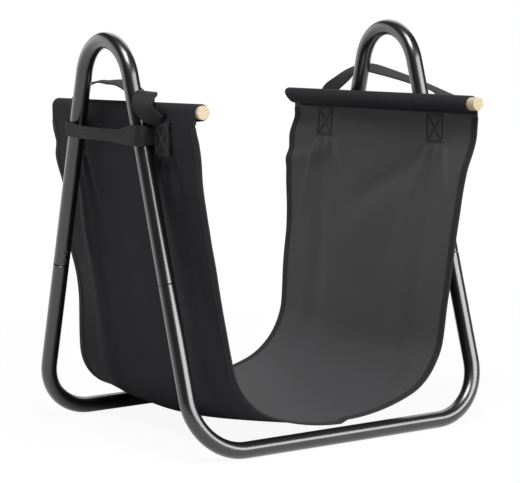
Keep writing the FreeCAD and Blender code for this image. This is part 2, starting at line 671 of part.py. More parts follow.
def strap_path(body, end, room, run_formula):
    # Half the right strap's line seen from above: along the arch's outside, round the leg, in to the panel,
    # and along the panel under the tab.
    path = sketch_on(body, "XY_Plane", "strap_path_%d" % (end + 1))
    bind(path, "AttachmentOffset.Base.z", "Sizes.dowel_height - Sizes.strap_drop")
    bend = size("strap_bend")
    fold = size("strap_fold")
    toe = math.radians(size("dowel_toe"))
    run = float(body.evalExpression(run_formula))
    low_edge = "(Sizes.dowel_height - Sizes.strap_drop - Sizes.strap_width / 2 - Sizes.tube_diameter / 2)"
    arm_formula = "Sizes.rail_spacing / 2 - %s * tan(Sizes.leg_splay)" % low_edge
    arm_formula += " + Sizes.tube_diameter / 2 / cos(Sizes.leg_splay)" + room
    arm = float(body.evalExpression(arm_formula))
    last_formula = "((Sizes.tab_spacing + Sizes.handle_width) / 2)"
    last = float(body.evalExpression(last_formula))
    seat_formula = "(%s + Sizes.webbing_thickness / 2) / cos(Sizes.dowel_toe)" % strap_seat
    seat_formula = "Sizes.dowel_spacing / 2 + %s" % seat_formula
    end_formula = seat_formula + " - %d * %s * tan(Sizes.dowel_toe)" % (end, last_formula)
    seat = float(body.evalExpression(seat_formula)) - end * arm * math.tan(toe)
    path.addGeometry(flat_line((run, 0), (run, end * (arm - bend))))
    path.addGeometry(flat_arc((run - bend, end * (arm - bend)), bend, *((0, 90) if end == BACK else (-90, 0))))
    path.addGeometry(flat_line((run - bend, end * arm), (seat + fold, end * arm)))
    path.addGeometry(flat_arc((seat + fold, end * (arm + fold)), fold, *((180, 270) if end == BACK else (90, 180))))
    path.addGeometry(flat_line((seat, end * (arm + fold)), (seat, end * last)))
    start, stop = (1, 2) if end == BACK else (2, 1)
    for constraint in (("PointOnObject", 0, 1, -1), ("Vertical", 0), ("Tangent", 0, 2, 1, start),
                       ("Tangent", 1, stop, 2, 1), ("Horizontal", 2), ("Tangent", 2, 2, 3, stop),
                       ("Tangent", 3, start, 4, 1)):
        path.addConstraint(Sketcher.Constraint(*constraint))
    hold(path, "Sizes.strap_bend", "Radius", 1)
    hold(path, "Sizes.strap_fold", "Radius", 3)
    hold(path, run_formula, "DistanceX", -1, 1, 0, 1)
    for formula, place in ((arm_formula, (2, 1)), (last_formula, (4, 2))):
        ends = (-1, 1, *place) if end == BACK else (*place, -1, 1)
        hold(path, formula, "DistanceY", *ends)
    hold(path, end_formula, "DistanceX", -1, 1, 4, 2)
    hold(path, "Sizes.dowel_toe + %d" % (90 * end), "Angle", 4)
    return path


def make_hanging_strap():
    # The right strap: from the panel out past each leg and across the arch's outside.
    body = doc.addObject("PartDesign::Body", "right_hanging_strap")
    room = " + Sizes.strap_clearance + Sizes.webbing_thickness / 2"
    run_formula = "Sizes.arch_spacing / 2 + Sizes.tube_diameter / 2" + room
    low_formula = "Sizes.dowel_height - Sizes.strap_drop - Sizes.strap_width / 2"
    for end in (FRONT, BACK):
        path = strap_path(body, end, room, run_formula)
        section = sketch_on(body, "XZ_Plane", "strap_section_%d" % (end + 1))
        low = float(body.evalExpression(low_formula))
        near = float(body.evalExpression(run_formula)) - size("webbing_thickness") / 2
        far, high = near + size("webbing_thickness"), low + size("strap_width")
        corners = [(near, low), (far, low), (far, high), (near, high)]
        for number, corner in enumerate(corners):
            section.addGeometry(flat_line(corner, corners[(number + 1) % 4]))
        for number in range(4):
            section.addConstraint(Sketcher.Constraint("Coincident", number, 2, (number + 1) % 4, 1))
            section.addConstraint(Sketcher.Constraint("Horizontal" if number % 2 == 0 else "Vertical", number))
        hold(section, "Sizes.webbing_thickness", "DistanceX", 0, 1, 0, 2)
        hold(section, "Sizes.strap_width", "DistanceY", 1, 1, 1, 2)
        hold(section, run_formula + " - Sizes.webbing_thickness / 2", "DistanceX", -1, 1, 0, 1)
        hold(section, low_formula, "DistanceY", -1, 1, 0, 1)
        doc.recompute()
        pipe_along(body, section, path, 5)
    add_node(body, "right_hanging_strap")
    add_node(mirror_copy(body, "left_hanging_strap"), "left_hanging_strap")


for side_name, side in SIDES:
    make_arch(side_name + "_arch", side)
for end_name, end in ENDS:
    make_rail(end_name + "_rail", end)
make_fasteners()
for side_name, side in SIDES:
    make_dowel(side_name + "_dowel", side)
make_sling()
for end_name, end in ENDS:
    make_binding(end_name + "_edge_binding", end)
for side_name, side in SIDES:
    make_tabs(side_name + "_handle_tabs", side)
    make_handle(side_name + "_handle", side)
make_hanging_strap()
doc.recompute()

# Nothing is written unless every object is sound.
for thing in doc.Objects:
    if "Invalid" in thing.State or "Error" in thing.State:
        raise RuntimeError("%s did not build: %s" % (thing.Label, thing.State))
for node in nodes:
    if node.Shape.isNull() or not node.Shape.isValid():
        raise RuntimeError("%s has no sound shape" % node.Label)

os.makedirs("parts", exist_ok=True)
for node in nodes:
    node.Shape.exportStep("parts/%s.step" % node.Label)
    box = node.Shape.BoundBox
    print("%-24s %2d solids %10.1f mm3  x %7.1f %7.1f  y %7.1f %7.1f  z %6.1f %6.1f" % (
        node.Label, len(node.Shape.Solids), node.Shape.Volume,
        box.XMin, box.XMax, box.YMin, box.YMax, box.ZMin, box.ZMax))
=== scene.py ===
from math import acos, atan2, copysign, cos, exp, pi, radians, sin, sqrt, tan

import bpy
from mathutils import Matrix, Vector, noise


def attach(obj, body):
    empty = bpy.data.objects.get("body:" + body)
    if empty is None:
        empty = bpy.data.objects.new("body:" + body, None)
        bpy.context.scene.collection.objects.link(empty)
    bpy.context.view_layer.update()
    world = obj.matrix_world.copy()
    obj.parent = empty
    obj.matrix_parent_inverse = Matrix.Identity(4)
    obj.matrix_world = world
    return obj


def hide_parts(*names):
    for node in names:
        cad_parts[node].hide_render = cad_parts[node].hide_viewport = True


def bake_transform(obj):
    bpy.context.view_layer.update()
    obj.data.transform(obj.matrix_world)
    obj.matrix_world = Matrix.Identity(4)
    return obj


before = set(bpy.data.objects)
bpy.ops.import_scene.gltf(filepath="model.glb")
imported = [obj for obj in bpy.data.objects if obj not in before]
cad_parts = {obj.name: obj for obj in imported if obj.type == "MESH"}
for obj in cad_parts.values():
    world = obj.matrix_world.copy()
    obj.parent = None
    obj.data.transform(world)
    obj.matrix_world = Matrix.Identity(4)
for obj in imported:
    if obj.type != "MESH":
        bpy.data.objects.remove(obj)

scene = bpy.context.scene
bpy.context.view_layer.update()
sides = {"left": -1, "right": 1}
ends = {"front": -1, "back": 1}
axisX, axisY, axisZ = Matrix.Identity(3)


def newObject(name, data):
    item = bpy.data.objects.new(name, data)
    scene.collection.objects.link(item)
    return item


# camera

shot = {"azimuth": -33.76, "elevation": 7.22, "roll": -1.12, "distance": 3.403,
        "target": Vector((0.0058, 0, 0.2478)), "lens": 171.58, "sensor": 36, "clip": 60}


def addCamera():
    turn, rise, roll = (radians(shot[key]) for key in ("azimuth", "elevation", "roll"))
    back = Vector((sin(turn) * cos(rise), -cos(turn) * cos(rise), sin(rise)))
    right = Vector((cos(turn), sin(turn), 0))
    up = back.cross(right)
    across = right * cos(roll) + up * sin(roll)
    upright = up * cos(roll) - right * sin(roll)
    data = bpy.data.cameras.new("camera")
    data.lens, data.sensor_width, data.clip_end = shot["lens"], shot["sensor"], shot["clip"]
    camera = newObject("camera", data)
    basis = Matrix((across, upright, back)).transposed().to_4x4()
    camera.matrix_world = Matrix.Translation(shot["target"] + back * shot["distance"]) @ basis
    scene.camera = camera


addCamera()
print("camera placed")


# shared node groups and materials

def newNode(tree, kind, inputs=None, **settings):
    # inputs are linked where they are sockets, and set where they are values
    node = tree.nodes.new(kind)
    for key, value in settings.items():
        setattr(node, key, value)
    for key, value in (inputs or {}).items():
        if isinstance(value, bpy.types.NodeSocket):
            tree.links.new(value, node.inputs[key])
        else:
            node.inputs[key].default_value = value
    return node


def mathNode(tree, operation, *values):
    return newNode(tree, "ShaderNodeMath", dict(enumerate(values)), operation=operation).outputs[0]


def noiseNode(tree, inputs, dimensions="3D"):
    return newNode(tree, "ShaderNodeTexNoise", inputs, noise_dimensions=dimensions).outputs["Fac"]


def newGroup(name, inputs, outputs, kind="ShaderNodeTree"):
    tree = bpy.data.node_groups.new(name, kind)
    for way, sockets in (("INPUT", inputs), ("OUTPUT", outputs)):
        for title, sort in sockets.items():
            tree.interface.new_socket(title, in_out=way, socket_type="NodeSocket" + sort)
    return tree, newNode(tree, "NodeGroupInput").outputs


def plainWeave():
    # threads that pass over and under each other, counted per metre
    tree, start = newGroup("plainWeave", {"Cloth": "Vector", "Warp": "Float", "Weft": "Float"}, {"Height": "Float"})
    split = newNode(tree, "ShaderNodeSeparateXYZ", {0: start["Cloth"]}).outputs
    waves = []
    for axis, count in (("X", "Warp"), ("Y", "Weft")):
        turns = mathNode(tree, "MULTIPLY", start[count], pi)
        waves.append(mathNode(tree, "SINE", mathNode(tree, "MULTIPLY", split[axis], turns)))
    over = mathNode(tree, "MULTIPLY_ADD", mathNode(tree, "MULTIPLY", *waves), 0.5, 0.5)
    slub = noiseNode(tree, {"Vector": start["Cloth"], "Scale": 160, "Detail": 3}, "2D")
    uneven = mathNode(tree, "MULTIPLY", slub, 0.3)
    newNode(tree, "NodeGroupOutput", {"Height": mathNode(tree, "ADD", over, uneven)})
    return tree


def ribbedWeave():
    # webbing: lengthwise ribs, broken by the crossing threads into small chevrons
    tree, start = newGroup("ribbedWeave", {"Strip": "Vector", "Ribs": "Float", "Picks": "Float"}, {"Height": "Float"})
    split = newNode(tree, "ShaderNodeSeparateXYZ", {0: start["Strip"]}).outputs
    across = mathNode(tree, "MULTIPLY", split["X"], start["Ribs"])
    along = mathNode(tree, "MULTIPLY", split["Y"], start["Picks"])
    slant = mathNode(tree, "ADD", along, mathNode(tree, "PINGPONG", across, 1))
    pick = mathNode(tree, "SINE", mathNode(tree, "MULTIPLY", slant, 2 * pi))
    rib = mathNode(tree, "ABSOLUTE", mathNode(tree, "SINE", mathNode(tree, "MULTIPLY", across, pi)))
    newNode(tree, "NodeGroupOutput", {"Height": mathNode(tree, "MULTIPLY_ADD", pick, 0.25, rib)})
    return tree


def wornTone():
    # slow changes of tone and gloss, with a little settled dust
    tree, start = newGroup("wornTone", {"Place": "Vector", "Colour": "Color", "Dust": "Color", "Amount": "Float",
                                        "Size": "Float", "Gloss": "Float", "Spread": "Float"},
                           {"Colour": "Color", "Roughness": "Float", "Fine": "Float"})
    slow = noiseNode(tree, {"Vector": start["Place"], "Scale": start["Size"], "Detail": 5, "Roughness": 0.6})
    fine = noiseNode(tree, {"Vector": start["Place"], "Scale": 420, "Detail": 2})
    both = mathNode(tree, "MULTIPLY", slow, mathNode(tree, "ADD", fine, 0.5))
    share = mathNode(tree, "MULTIPLY", both, start["Amount"])
    mix = newNode(tree, "ShaderNodeMix", {"Factor": share, 6: start["Colour"], 7: start["Dust"]}, data_type="RGBA")
    lift = mathNode(tree, "MULTIPLY", mathNode(tree, "SUBTRACT", slow, 0.5), start["Spread"])
    newNode(tree, "NodeGroupOutput", {"Colour": mix.outputs[2], "Fine": fine,
                                      "Roughness": mathNode(tree, "ADD", lift, start["Gloss"])})
    return tree


groups = {"weave": plainWeave(), "ribs": ribbedWeave(), "tone": wornTone()}


# each relief gives the bump's height, strength and distance

def coatRelief(tree, place, tone, shade):
    return tone.outputs["Fine"], 0.25, 0.0002


def clothRelief(tree, place, tone, shade):
    weave = newNode(tree, "ShaderNodeGroup", {"Cloth": place["UV"], "Warp": shade["threads"],
                                              "Weft": shade["threads"] * 0.9}, node_tree=groups["weave"])
    return weave.outputs["Height"], shade["bump"], 0.0002


def webbingRelief(tree, place, tone, shade):
    ribs = newNode(tree, "ShaderNodeGroup", {"Strip": place["UV"], "Ribs": shade["ribs"], "Picks": shade["picks"]},
                   node_tree=groups["ribs"])
    return ribs.outputs["Height"], shade["bump"], 0.0004


def woodRelief(tree, place, tone, shade):
    stretch = newNode(tree, "ShaderNodeMapping", {"Vector": place["Object"], "Scale": (1, 0.04, 1)})
    grain = noiseNode(tree, {"Vector": stretch.outputs["Vector"], "Scale": 260, "Detail": 4, "Distortion": 0.4})
    ramp = newNode(tree, "ShaderNodeValToRGB", {"Fac": grain})
    late, early = ramp.color_ramp.elements
    late.position, late.color = 0.35, (*shade["late"], 1)
    early.position, early.color = 0.62, (*shade["colour"], 1)
    tree.links.new(ramp.outputs["Color"], tone.inputs["Colour"])
    return grain, 0.25, 0.0003


def newFinish(name, relief, **shade):
    # a principled shader whose colour and gloss come from the shared tone group
    material = bpy.data.materials.new(name)
    material.use_nodes = True
    tree = material.node_tree
    place = newNode(tree, "ShaderNodeTexCoord").outputs
    tone = newNode(tree, "ShaderNodeGroup", {
        "Place": place["Object"], "Colour": (*shade["colour"], 1), "Dust": (*shade["dust"], 1),
        "Amount": shade["amount"], "Size": shade["size"], "Gloss": shade["gloss"], "Spread": shade["spread"],
    }, node_tree=groups["tone"])
    height, strength, distance = relief(tree, place, tone, shade)
    bump = newNode(tree, "ShaderNodeBump", {"Strength": strength, "Distance": distance, "Height": height})
    inputs = tree.nodes["Principled BSDF"].inputs
    tree.links.new(tone.outputs["Colour"], inputs["Base Color"])
    tree.links.new(tone.outputs["Roughness"], inputs["Roughness"])
    tree.links.new(bump.outputs["Normal"], inputs["Normal"])
    for title, value in shade.get("shader", {}).items():
        inputs[title].default_value = value
    return material


def grey(level):
    return (level, level, level)


dull = {"Specular IOR Level": 0.25}
finishes = {
    "coat": newFinish("satinBlackCoat", coatRelief, colour=(0.003, 0.003, 0.0033), dust=grey(0.03), amount=0.03,
                      size=20, gloss=0.34, spread=0.06, shader={"Coat Weight": 1.0, "Coat Roughness": 0.20}),
    "screw": newFinish("blackenedScrew", coatRelief, colour=(0.018, 0.018, 0.019), dust=grey(0.1), amount=0.08,
                       size=200, gloss=0.34, spread=0.1, shader={"Metallic": 0.6}),
    "nut": newFinish("platedNut", coatRelief, colour=grey(0.5), dust=(0.3, 0.3, 0.28), amount=0.3,
                     size=200, gloss=0.35, spread=0.2, shader={"Metallic": 1}),
    "outer": newFinish("outerCanvas", clothRelief, colour=(0.0055, 0.0058, 0.0080), dust=(0.045, 0.045, 0.047),
                       amount=0.2, size=9, gloss=0.85, spread=0.1, threads=1300, bump=0.5, shader=dull),
    "inner": newFinish("coatedInside", clothRelief, colour=(0.036, 0.036, 0.038), dust=(0.072, 0.072, 0.075),
                       amount=0.3, size=9, gloss=0.7, spread=0.12, threads=1300, bump=0.3, shader=dull),
    "tape": newFinish("edgeTape", clothRelief, colour=(0.012, 0.012, 0.013), dust=grey(0.05), amount=0.15,
                      size=30, gloss=0.8, spread=0.1, threads=1800, bump=0.5, shader=dull),
    "webbing": newFinish("blackWebbing", webbingRelief, colour=(0.004, 0.004, 0.0044), dust=grey(0.03), amount=0.12,
                         size=25, gloss=0.62, spread=0.15, ribs=420, picks=520, bump=0.6, shader=dull),
    "thread": newFinish("blackThread", coatRelief, colour=(0.004, 0.004, 0.0045), dust=grey(0.03), amount=0.1,
                        size=60, gloss=0.55, spread=0.1),
    "wood": newFinish("bareWood", woodRelief, colour=(0.42, 0.36, 0.255), late=(0.35, 0.27, 0.16),
                      dust=(0.31, 0.25, 0.16), amount=0.2, size=30, gloss=0.62, spread=0.1),
}
print("finishes made:", len(finishes))


# mesh helpers

def newPiece(name, points, faces, materials, uvs=None, kinds=None, sharp=40):
    mesh = bpy.data.meshes.new(name)
    mesh.from_pydata(points, [], faces)
    for material in materials:
        mesh.materials.append(material)
    if uvs:
        layer = mesh.uv_layers.new(name="UVMap")
        for loop in mesh.loops:
            layer.data[loop.index].uv = uvs[loop.vertex_index]
    if kinds:
        mesh.polygons.foreach_set("material_index", kinds)
    mesh.polygons.foreach_set("use_smooth", [True] * len(mesh.polygons))
    mesh.set_sharp_from_angle(angle=radians(sharp))
    mesh.update()
    return newObject(name, mesh)


def loft(name, loops, finish, uvs=None, flip=False, sharp=40):
    # a skin over loops of points, closed at both ends
    count = len(loops[0])
    rows = [range(first, first + count) for first in range(0, count * len(loops), count)]
    faces = [tuple(reversed(rows[0])), tuple(rows[-1])]
    for low, high in zip(rows, rows[1:]):
        faces += [(low[i - 1], low[i], high[i], high[i - 1]) for i in range(count)]
    if flip:
        faces = [tuple(reversed(face)) for face in faces]
    return newPiece(name, [point for loop in loops for point in loop], faces, [finish], uvs, sharp=sharp)


def turnsOf(count):
    return [2 * pi * step / count for step in range(count)]


def arc(middle, first, second, radius, start, stop, steps):
    # points on an arc that turns from the first way to the second, with their directions
    made = []
    for step in range(steps + 1):
        angle = start + (stop - start) * step / steps
        made.append((middle + (first * cos(angle) + second * sin(angle)) * radius,
                     second * cos(angle) - first * sin(angle)))
    return made


def runAlong(points):
    # how far each point lies along the line of points
    run = [0]
    for first, second in zip(points, points[1:]):
        run.append(run[-1] + (second - first).length)
    return run


def walked(run, wants):
    # for each distance wanted along a run: the stretch it falls on, and its share of that stretch
    number = 0
    for want in wants:
        while number < len(run) - 2 and run[number + 1] < want:
            number += 1
        span = run[number + 1] - run[number]
        yield number, (want - run[number]) / span if span else 0


def smooth(low, high, value):
    share = min(max((value - low) / (high - low), 0), 1)
    return share * share * (3 - 2 * share)


def bell(value, middle, width):
    return exp(-((value - middle) / width) ** 2)


def dress(piece, body, slot, *nodes):
    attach(piece, body)
    if nodes:
        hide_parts(*nodes)
    return piece


# stand: arches and floor rails

stand = {"radius": 0.011, "archX": 0.230, "railY": 0.200, "splay": radians(16.4), "archRadius": 0.062,
         "archSteps": 48, "railBend": 0.074, "railSteps": 24, "joint": 0.225, "chamfer": 0.0007, "seam": 0.00025,
         "sides": 48}


def legReach(z):
    return stand["railY"] - (z - stand["radius"]) * tan(stand["splay"])


def tubeAlong(name, path, binormal):
    # path: points with their directions, swept by a ring, with a small chamfer and a closed end at each seam
    radius, chamfer = stand["radius"], stand["chamfer"]
    (first, firstWay), (last, lastWay) = path[0], path[-1]
    rings = [(first, firstWay, radius - chamfer), (first + firstWay * chamfer, firstWay, radius)]
    rings += [(point, way, radius) for point, way in path[1:-1]]
    rings += [(last - lastWay * chamfer, lastWay, radius), (last, lastWay, radius - chamfer)]
    around = turnsOf(stand["sides"])
    loops, uvs = [], []
    for (middle, way, reach), run in zip(rings, runAlong([ring[0] for ring in rings])):
        side = binormal.cross(way)
        loops.append([middle + (side * cos(turn) + binormal * sin(turn)) * reach for turn in around])
        uvs += [(turn * radius, run) for turn in around]
    return loft(name, loops, finishes["coat"], uvs)


def archPath(x):
    radius, splay = stand["archRadius"], stand["splay"]
    up = Vector((0, sin(splay), cos(splay)))
    touch = stand["radius"] + (stand["railY"] - radius * cos(splay)) / tan(splay)
    middle = Vector((x, 0, touch - radius * sin(splay)))
    foot = Vector((x, -legReach(stand["joint"]), stand["joint"])) + up * stand["seam"]
    sweep = pi / 2 - splay
    path = [(foot, up)] + arc(middle, axisZ, axisY, radius, -sweep, sweep, stand["archSteps"])
    return path + [(Vector((x, -foot.y, foot.z)), Vector((0, up.y, -up.z)))]


def railPath(end):
    bend = stand["railBend"]
    down = Vector((0, end * sin(stand["splay"]), -cos(stand["splay"])))
    middle = Vector((bend - stand["archX"], end * stand["railY"], stand["radius"])) - down * bend
    joint = Vector((-stand["archX"], end * legReach(stand["joint"]), stand["joint"]))
    path = [(joint + down * stand["seam"], down)]
    path += arc(middle, -axisX, down, bend, 0, pi / 2, stand["railSteps"])
    mirrored = [(Vector((-point.x, point.y, point.z)), Vector((way.x, -way.y, -way.z))) for point, way in path]
    return path + mirrored[::-1]


for sideName, side in sides.items():
    arch = tubeAlong(sideName + "ArchTube", archPath(side * stand["archX"]), axisX)
    dress(arch, "stand", "black_powder_coat", sideName + "_arch")
for endName, end in ends.items():
    level = Vector((0, end * cos(stand["splay"]), sin(stand["splay"])))
    rail = tubeAlong(endName + "RailTube", railPath(end), level)
    dress(rail, "stand", "black_powder_coat", endName + "_rail")
print("stand swept")


# joint screws, two in each leg

screws = {"first": 0.008, "pitch": 0.012, "headRadius": 0.00375, "headHeight": 0.0024, "sunk": 0.0004, "rim": 0.0005,
          "domeSteps": 6, "domePower": 0.7, "socket": 0.0013, "socketDepth": 0.0012, "count": 24}


def screwHead():
    # button head turned about Z, with a six sided socket
    radius, height, rim = screws["headRadius"], screws["headHeight"], screws["rim"]
    rings = [(radius, -screws["sunk"]), (radius, rim)]
    for step in range(1, screws["domeSteps"]):
        angle = pi / 2 * step / screws["domeSteps"]
        rings.append((radius * cos(angle) ** screws["domePower"], rim + (height - rim) * sin(angle)))
    around = turnsOf(screws["count"])
    loops = [[(reach * cos(turn), reach * sin(turn), z) for turn in around] for reach, z in rings]
    sixth = pi / 6
    flats = [screws["socket"] * cos(sixth) / cos(turn % (2 * sixth) - sixth) for turn in around]
    for z in (height, height - screws["socketDepth"]):
        loops.append([(flat * cos(turn), flat * sin(turn), z) for flat, turn in zip(flats, around)])
    return loft("screwHead", loops, finishes["screw"], sharp=35)


def placingTree():
    # one shape, placed on every point and turned by the point's own attribute
    tree, start = newGroup("placeOnPoints", {"Geometry": "Geometry", "Shape": "Object", "Finish": "Material",
                                             "Scale": "Float"}, {"Geometry": "Geometry"}, "GeometryNodeTree")
    source = newNode(tree, "GeometryNodeObjectInfo", {"Object": start["Shape"]})
    turn = newNode(tree, "GeometryNodeInputNamedAttribute", {"Name": "turn"}, data_type="QUATERNION")
    place = newNode(tree, "GeometryNodeInstanceOnPoints", {
        "Points": start["Geometry"], "Instance": source.outputs["Geometry"],
        "Rotation": turn.outputs["Attribute"], "Scale": start["Scale"]})
    real = newNode(tree, "GeometryNodeRealizeInstances", {"Geometry": place.outputs["Instances"]})
    paint = newNode(tree, "GeometryNodeSetMaterial", {"Geometry": real.outputs["Geometry"],
                                                      "Material": start["Finish"]})
    newNode(tree, "NodeGroupOutput", {"Geometry": paint.outputs["Geometry"]})
    return tree, {item.name: item.identifier for item in tree.interface.items_tree if item.in_out == "INPUT"}


placing, placingInputs = placingTree()


def placeShapes(name, shape, finish, places, scale=1.0):
    # places: point, the way its X runs, the way its Z stands
    mesh = bpy.data.meshes.new(name + "Points")
    mesh.from_pydata([point for point, along, out in places], [], [])
    turns = []
    for point, along, out in places:
        out = out.normalized()
        along = (along - out * along.dot(out)).normalized()
        turns += list(Matrix((along, out.cross(along), out)).transposed().to_quaternion())
    mesh.attributes.new("turn", "QUATERNION", "POINT").data.foreach_set("value", turns)
    holder = newObject(name + "Points", mesh)
    modifier = holder.modifiers.new("place", "NODES")
    modifier.node_group = placing
    for title, value in (("Shape", shape), ("Finish", finish), ("Scale", scale)):
        modifier[placingInputs[title]] = value
    made = holder.evaluated_get(bpy.context.evaluated_depsgraph_get())
    result = bpy.data.meshes.new_from_object(made)
    result.name = name
    holder.modifiers.clear()
    bpy.data.objects.remove(holder)
    return newObject(name, result)


def addScrews():
    head = screwHead()
    splay = stand["splay"]
    for sideName, side in sides.items():
        for endName, end in ends.items():
            up = Vector((0, -end * sin(splay), cos(splay)))
            inward = Vector((0, -end * cos(splay), -sin(splay)))
            foot = Vector((side * stand["archX"], end * legReach(stand["joint"]), stand["joint"]))
            foot += inward * stand["radius"]
            places = [(foot + up * (screws["first"] + number * screws["pitch"]), up, inward) for number in range(2)]
            piece = placeShapes("%s%sScrews" % (sideName, endName.title()), head, finishes["screw"], places)
            dress(piece, "stand", "black_screws", "%s_%s_screws" % (sideName, endName))
            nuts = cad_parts["%s_%s_nuts" % (sideName, endName)].data.materials
            nuts.clear()
            nuts.append(finishes["nut"])
    bpy.data.objects.remove(head)


addScrews()
print("screws placed")


# sling: one cut of canvas, from hem to hem

sling = {"half": 0.200, "skin": 0.00065, "spacing": 0.403, "toe": radians(3), "sleeve": 0.01025,
         "hemDrop": 0.015, "hemHeight": 0.0045, "tuck": 0.0015, "bendDrop": 0.042, "bend": 0.250,
         "lean": 8.2, "leanChange": 2.2, "corner": 0.100, "floor": 0.330, "edgeBottom": 0.027, "sag": 0.014,
         "sagReach": 0.187, "fullFloor": 0.40, "fullCorner": -0.032, "fullReach": (-0.17, 0.06), "forward": 0.008,
         "forwardReach": (0.300, 0.400), "slant": 0.014, "slantOver": (0.010, -0.010), "slantReach": (0.11, 0.2),
         "tabPlace": 0.120, "foldWidth": 0.030, "foldLength": 0.026, "columns": 140,
         "left": {"height": 0.4417, "pitch": radians(1.65)},
         "right": {"height": 0.4333, "pitch": radians(0.65)}}
slingRows = {"floor": 22, "corner": 26, "line": 46, "bend": 16, "straight": 18, "sleeve": 26, "tail": 6, "hem": 3}


def sideWord(side):
    return "left" if side < 0 else "right"


def dowelX(y):
    return sling["spacing"] / 2 - y * tan(sling["toe"])


def dowelZ(side, y):
    hung = sling[sideWord(side)]
    return hung["height"] - y * tan(hung["pitch"]) / cos(sling["toe"])


def fullness(side, y):
    # radius of the floor and of the corner: the bag sits flatter and fuller at the left back
    full = smooth(*sling["fullReach"], y) if side < 0 else 0
    return sling["floor"] + sling["fullFloor"] * full, sling["corner"] + sling["fullCorner"] * full


def onArc(middle, radius, angle):
    turned = Vector((sin(angle), -cos(angle)))
    return middle + turned * radius, turned


def slingSection(side, y):
    # half a girth, from the middle of the bottom to the hem: rows of (place in x and z, outward way, part)
    lean = radians(sling["lean"] - sling["leanChange"] * y / sling["half"])
    panelX, top = dowelX(y) + sling["sleeve"], dowelZ(side, y)
    floorRadius, cornerRadius = fullness(side, y)
    near = min(abs(abs(y) - sling["tabPlace"]) / sling["foldWidth"], 1)
    bendHeight = top - sling["bendDrop"] - sling["foldLength"] * (1 + cos(pi * near)) / 2
    bottom = sling["edgeBottom"] - sling["sag"] * max(0, 1 - (y / sling["sagReach"]) ** 2)
    bendMiddle = Vector((panelX - sling["bend"], bendHeight))
    floorMiddle = Vector((0, bottom + floorRadius))
    outward = Vector((cos(lean), -sin(lean)))
    down = Vector((-sin(lean), -cos(lean)))
    bendEnd = bendMiddle + outward * sling["bend"]
    gap = bendEnd - outward * cornerRadius - floorMiddle
    slide = gap.dot(down)
    run = -slide + sqrt(slide ** 2 - gap.dot(gap) + (floorRadius - cornerRadius) ** 2)
    cornerMiddle = bendEnd - outward * cornerRadius + down * run
    way = cornerMiddle - floorMiddle
    turn = atan2(way.x, -way.y)
    upright = pi / 2 - lean
    cornerEnd = cornerMiddle + outward * cornerRadius
    dowel = Vector((dowelX(y), top))
    hem = Vector((panelX - sling["tuck"], top - sling["hemDrop"]))
    hemTop = Vector((hem.x, hem.y + sling["hemHeight"]))
    reach = hemTop - dowel
    leave = atan2(reach.y, reach.x) - acos(sling["sleeve"] / reach.length) + 2 * pi
    leaveWay = Vector((cos(leave), sin(leave)))
    leaveEnd = dowel + leaveWay * sling["sleeve"]
    inward = Vector((-1, 0))
    parts = {
        "floor": lambda share: onArc(floorMiddle, floorRadius, turn * share),
        "corner": lambda share: onArc(cornerMiddle, cornerRadius, turn + (upright - turn) * share),
        "line": lambda share: (cornerEnd.lerp(bendEnd, share), outward),
        "bend": lambda share: onArc(bendMiddle, sling["bend"], upright + lean * share),
        "straight": lambda share: (Vector((panelX, bendHeight + (top - bendHeight) * share)), -inward),
        "sleeve": lambda share: onArc(dowel, sling["sleeve"], pi / 2 + leave * share),
        "tail": lambda share: (leaveEnd.lerp(hemTop, share), leaveWay.lerp(inward, share * share).normalized()),
        "hem": lambda share: (hemTop.lerp(hem, share), inward)}
    return [(*parts[part](step / count), part)
            for part, count in slingRows.items() for step in range(part != "floor", count + 1)]


# creases: free cloth, the fans under the tabs, the left crease and the edges that hang in or out
creases = {"held": (0.014, 0.040), "low": (0.02, 0.09), "swell": 0.0040, "pucker": 0.0003, "puckerReach": 0.014,
           "fan": 0.0062, "fanWidth": 0.0055, "fanSpread": 0.05, "fanTop": 0.058, "fanStart": 0.010, "fanFade": 0.055,
           "fanPitch": 0.015, "fanSlants": (-0.34, -0.08, 0.22),
           "leftFold": 0.0020, "leftPlace": 0.120, "leftSlant": 0.02, "leftWidth": 0.007,
           "leftTop": (0.045, 0.07), "leftLow": (0.235, 0.17),
           "strip": 0.013, "stripReach": (0.115, 0.2), "stripHeight": 0.186, "stripTall": 0.070,
           "frontDraw": 0.0100, "frontReach": (-0.04, -0.2), "frontTop": (0.03, 0.10), "frontLow": 0.4,
           "backDraw": 0.009, "backReach": (0.11, 0.2), "backTop": (0.025, 0.06), "backLow": (0.2, 0.08)}
# folds across an edge: how far out, where they come in along the dowel, their depth, its slope and their height
edgeFolds = {"left": [(-0.004, [(0.115, 0.2)], 0.050, 0, 0.013), (-0.009, [(0.115, 0.2)], 0.118, 0, 0.035),
                      (-0.005, [(-0.1, -0.2)], 0.060, 0, 0.030)],
             "right": [(-0.0035, [(0.10, 0.14)], 0.062, 0.15, 0.011), (0.003, [(0.11, 0.2)], 0.082, 0, 0.012),
                       (0.0035, [(-0.13, -0.09), (0.07, 0.01)], 0.125, 0.5, 0.018)]}


def fanned(side, y, depth):
    # three creases that fan out under each tab
    below = max(depth - creases["fanTop"], 0)
    fade = smooth(0, creases["fanStart"], below) * exp(-below / creases["fanFade"])
    total = 0
    for place in (-sling["tabPlace"], sling["tabPlace"]):
        for number, slant in enumerate(creases["fanSlants"]):
            line = place + (number - 1) * creases["fanPitch"] + slant * below * (1 + 0.3 * side)
            total += bell(y, line, creases["fanWidth"] + creases["fanSpread"] * below) * fade
    return total * creases["fan"]


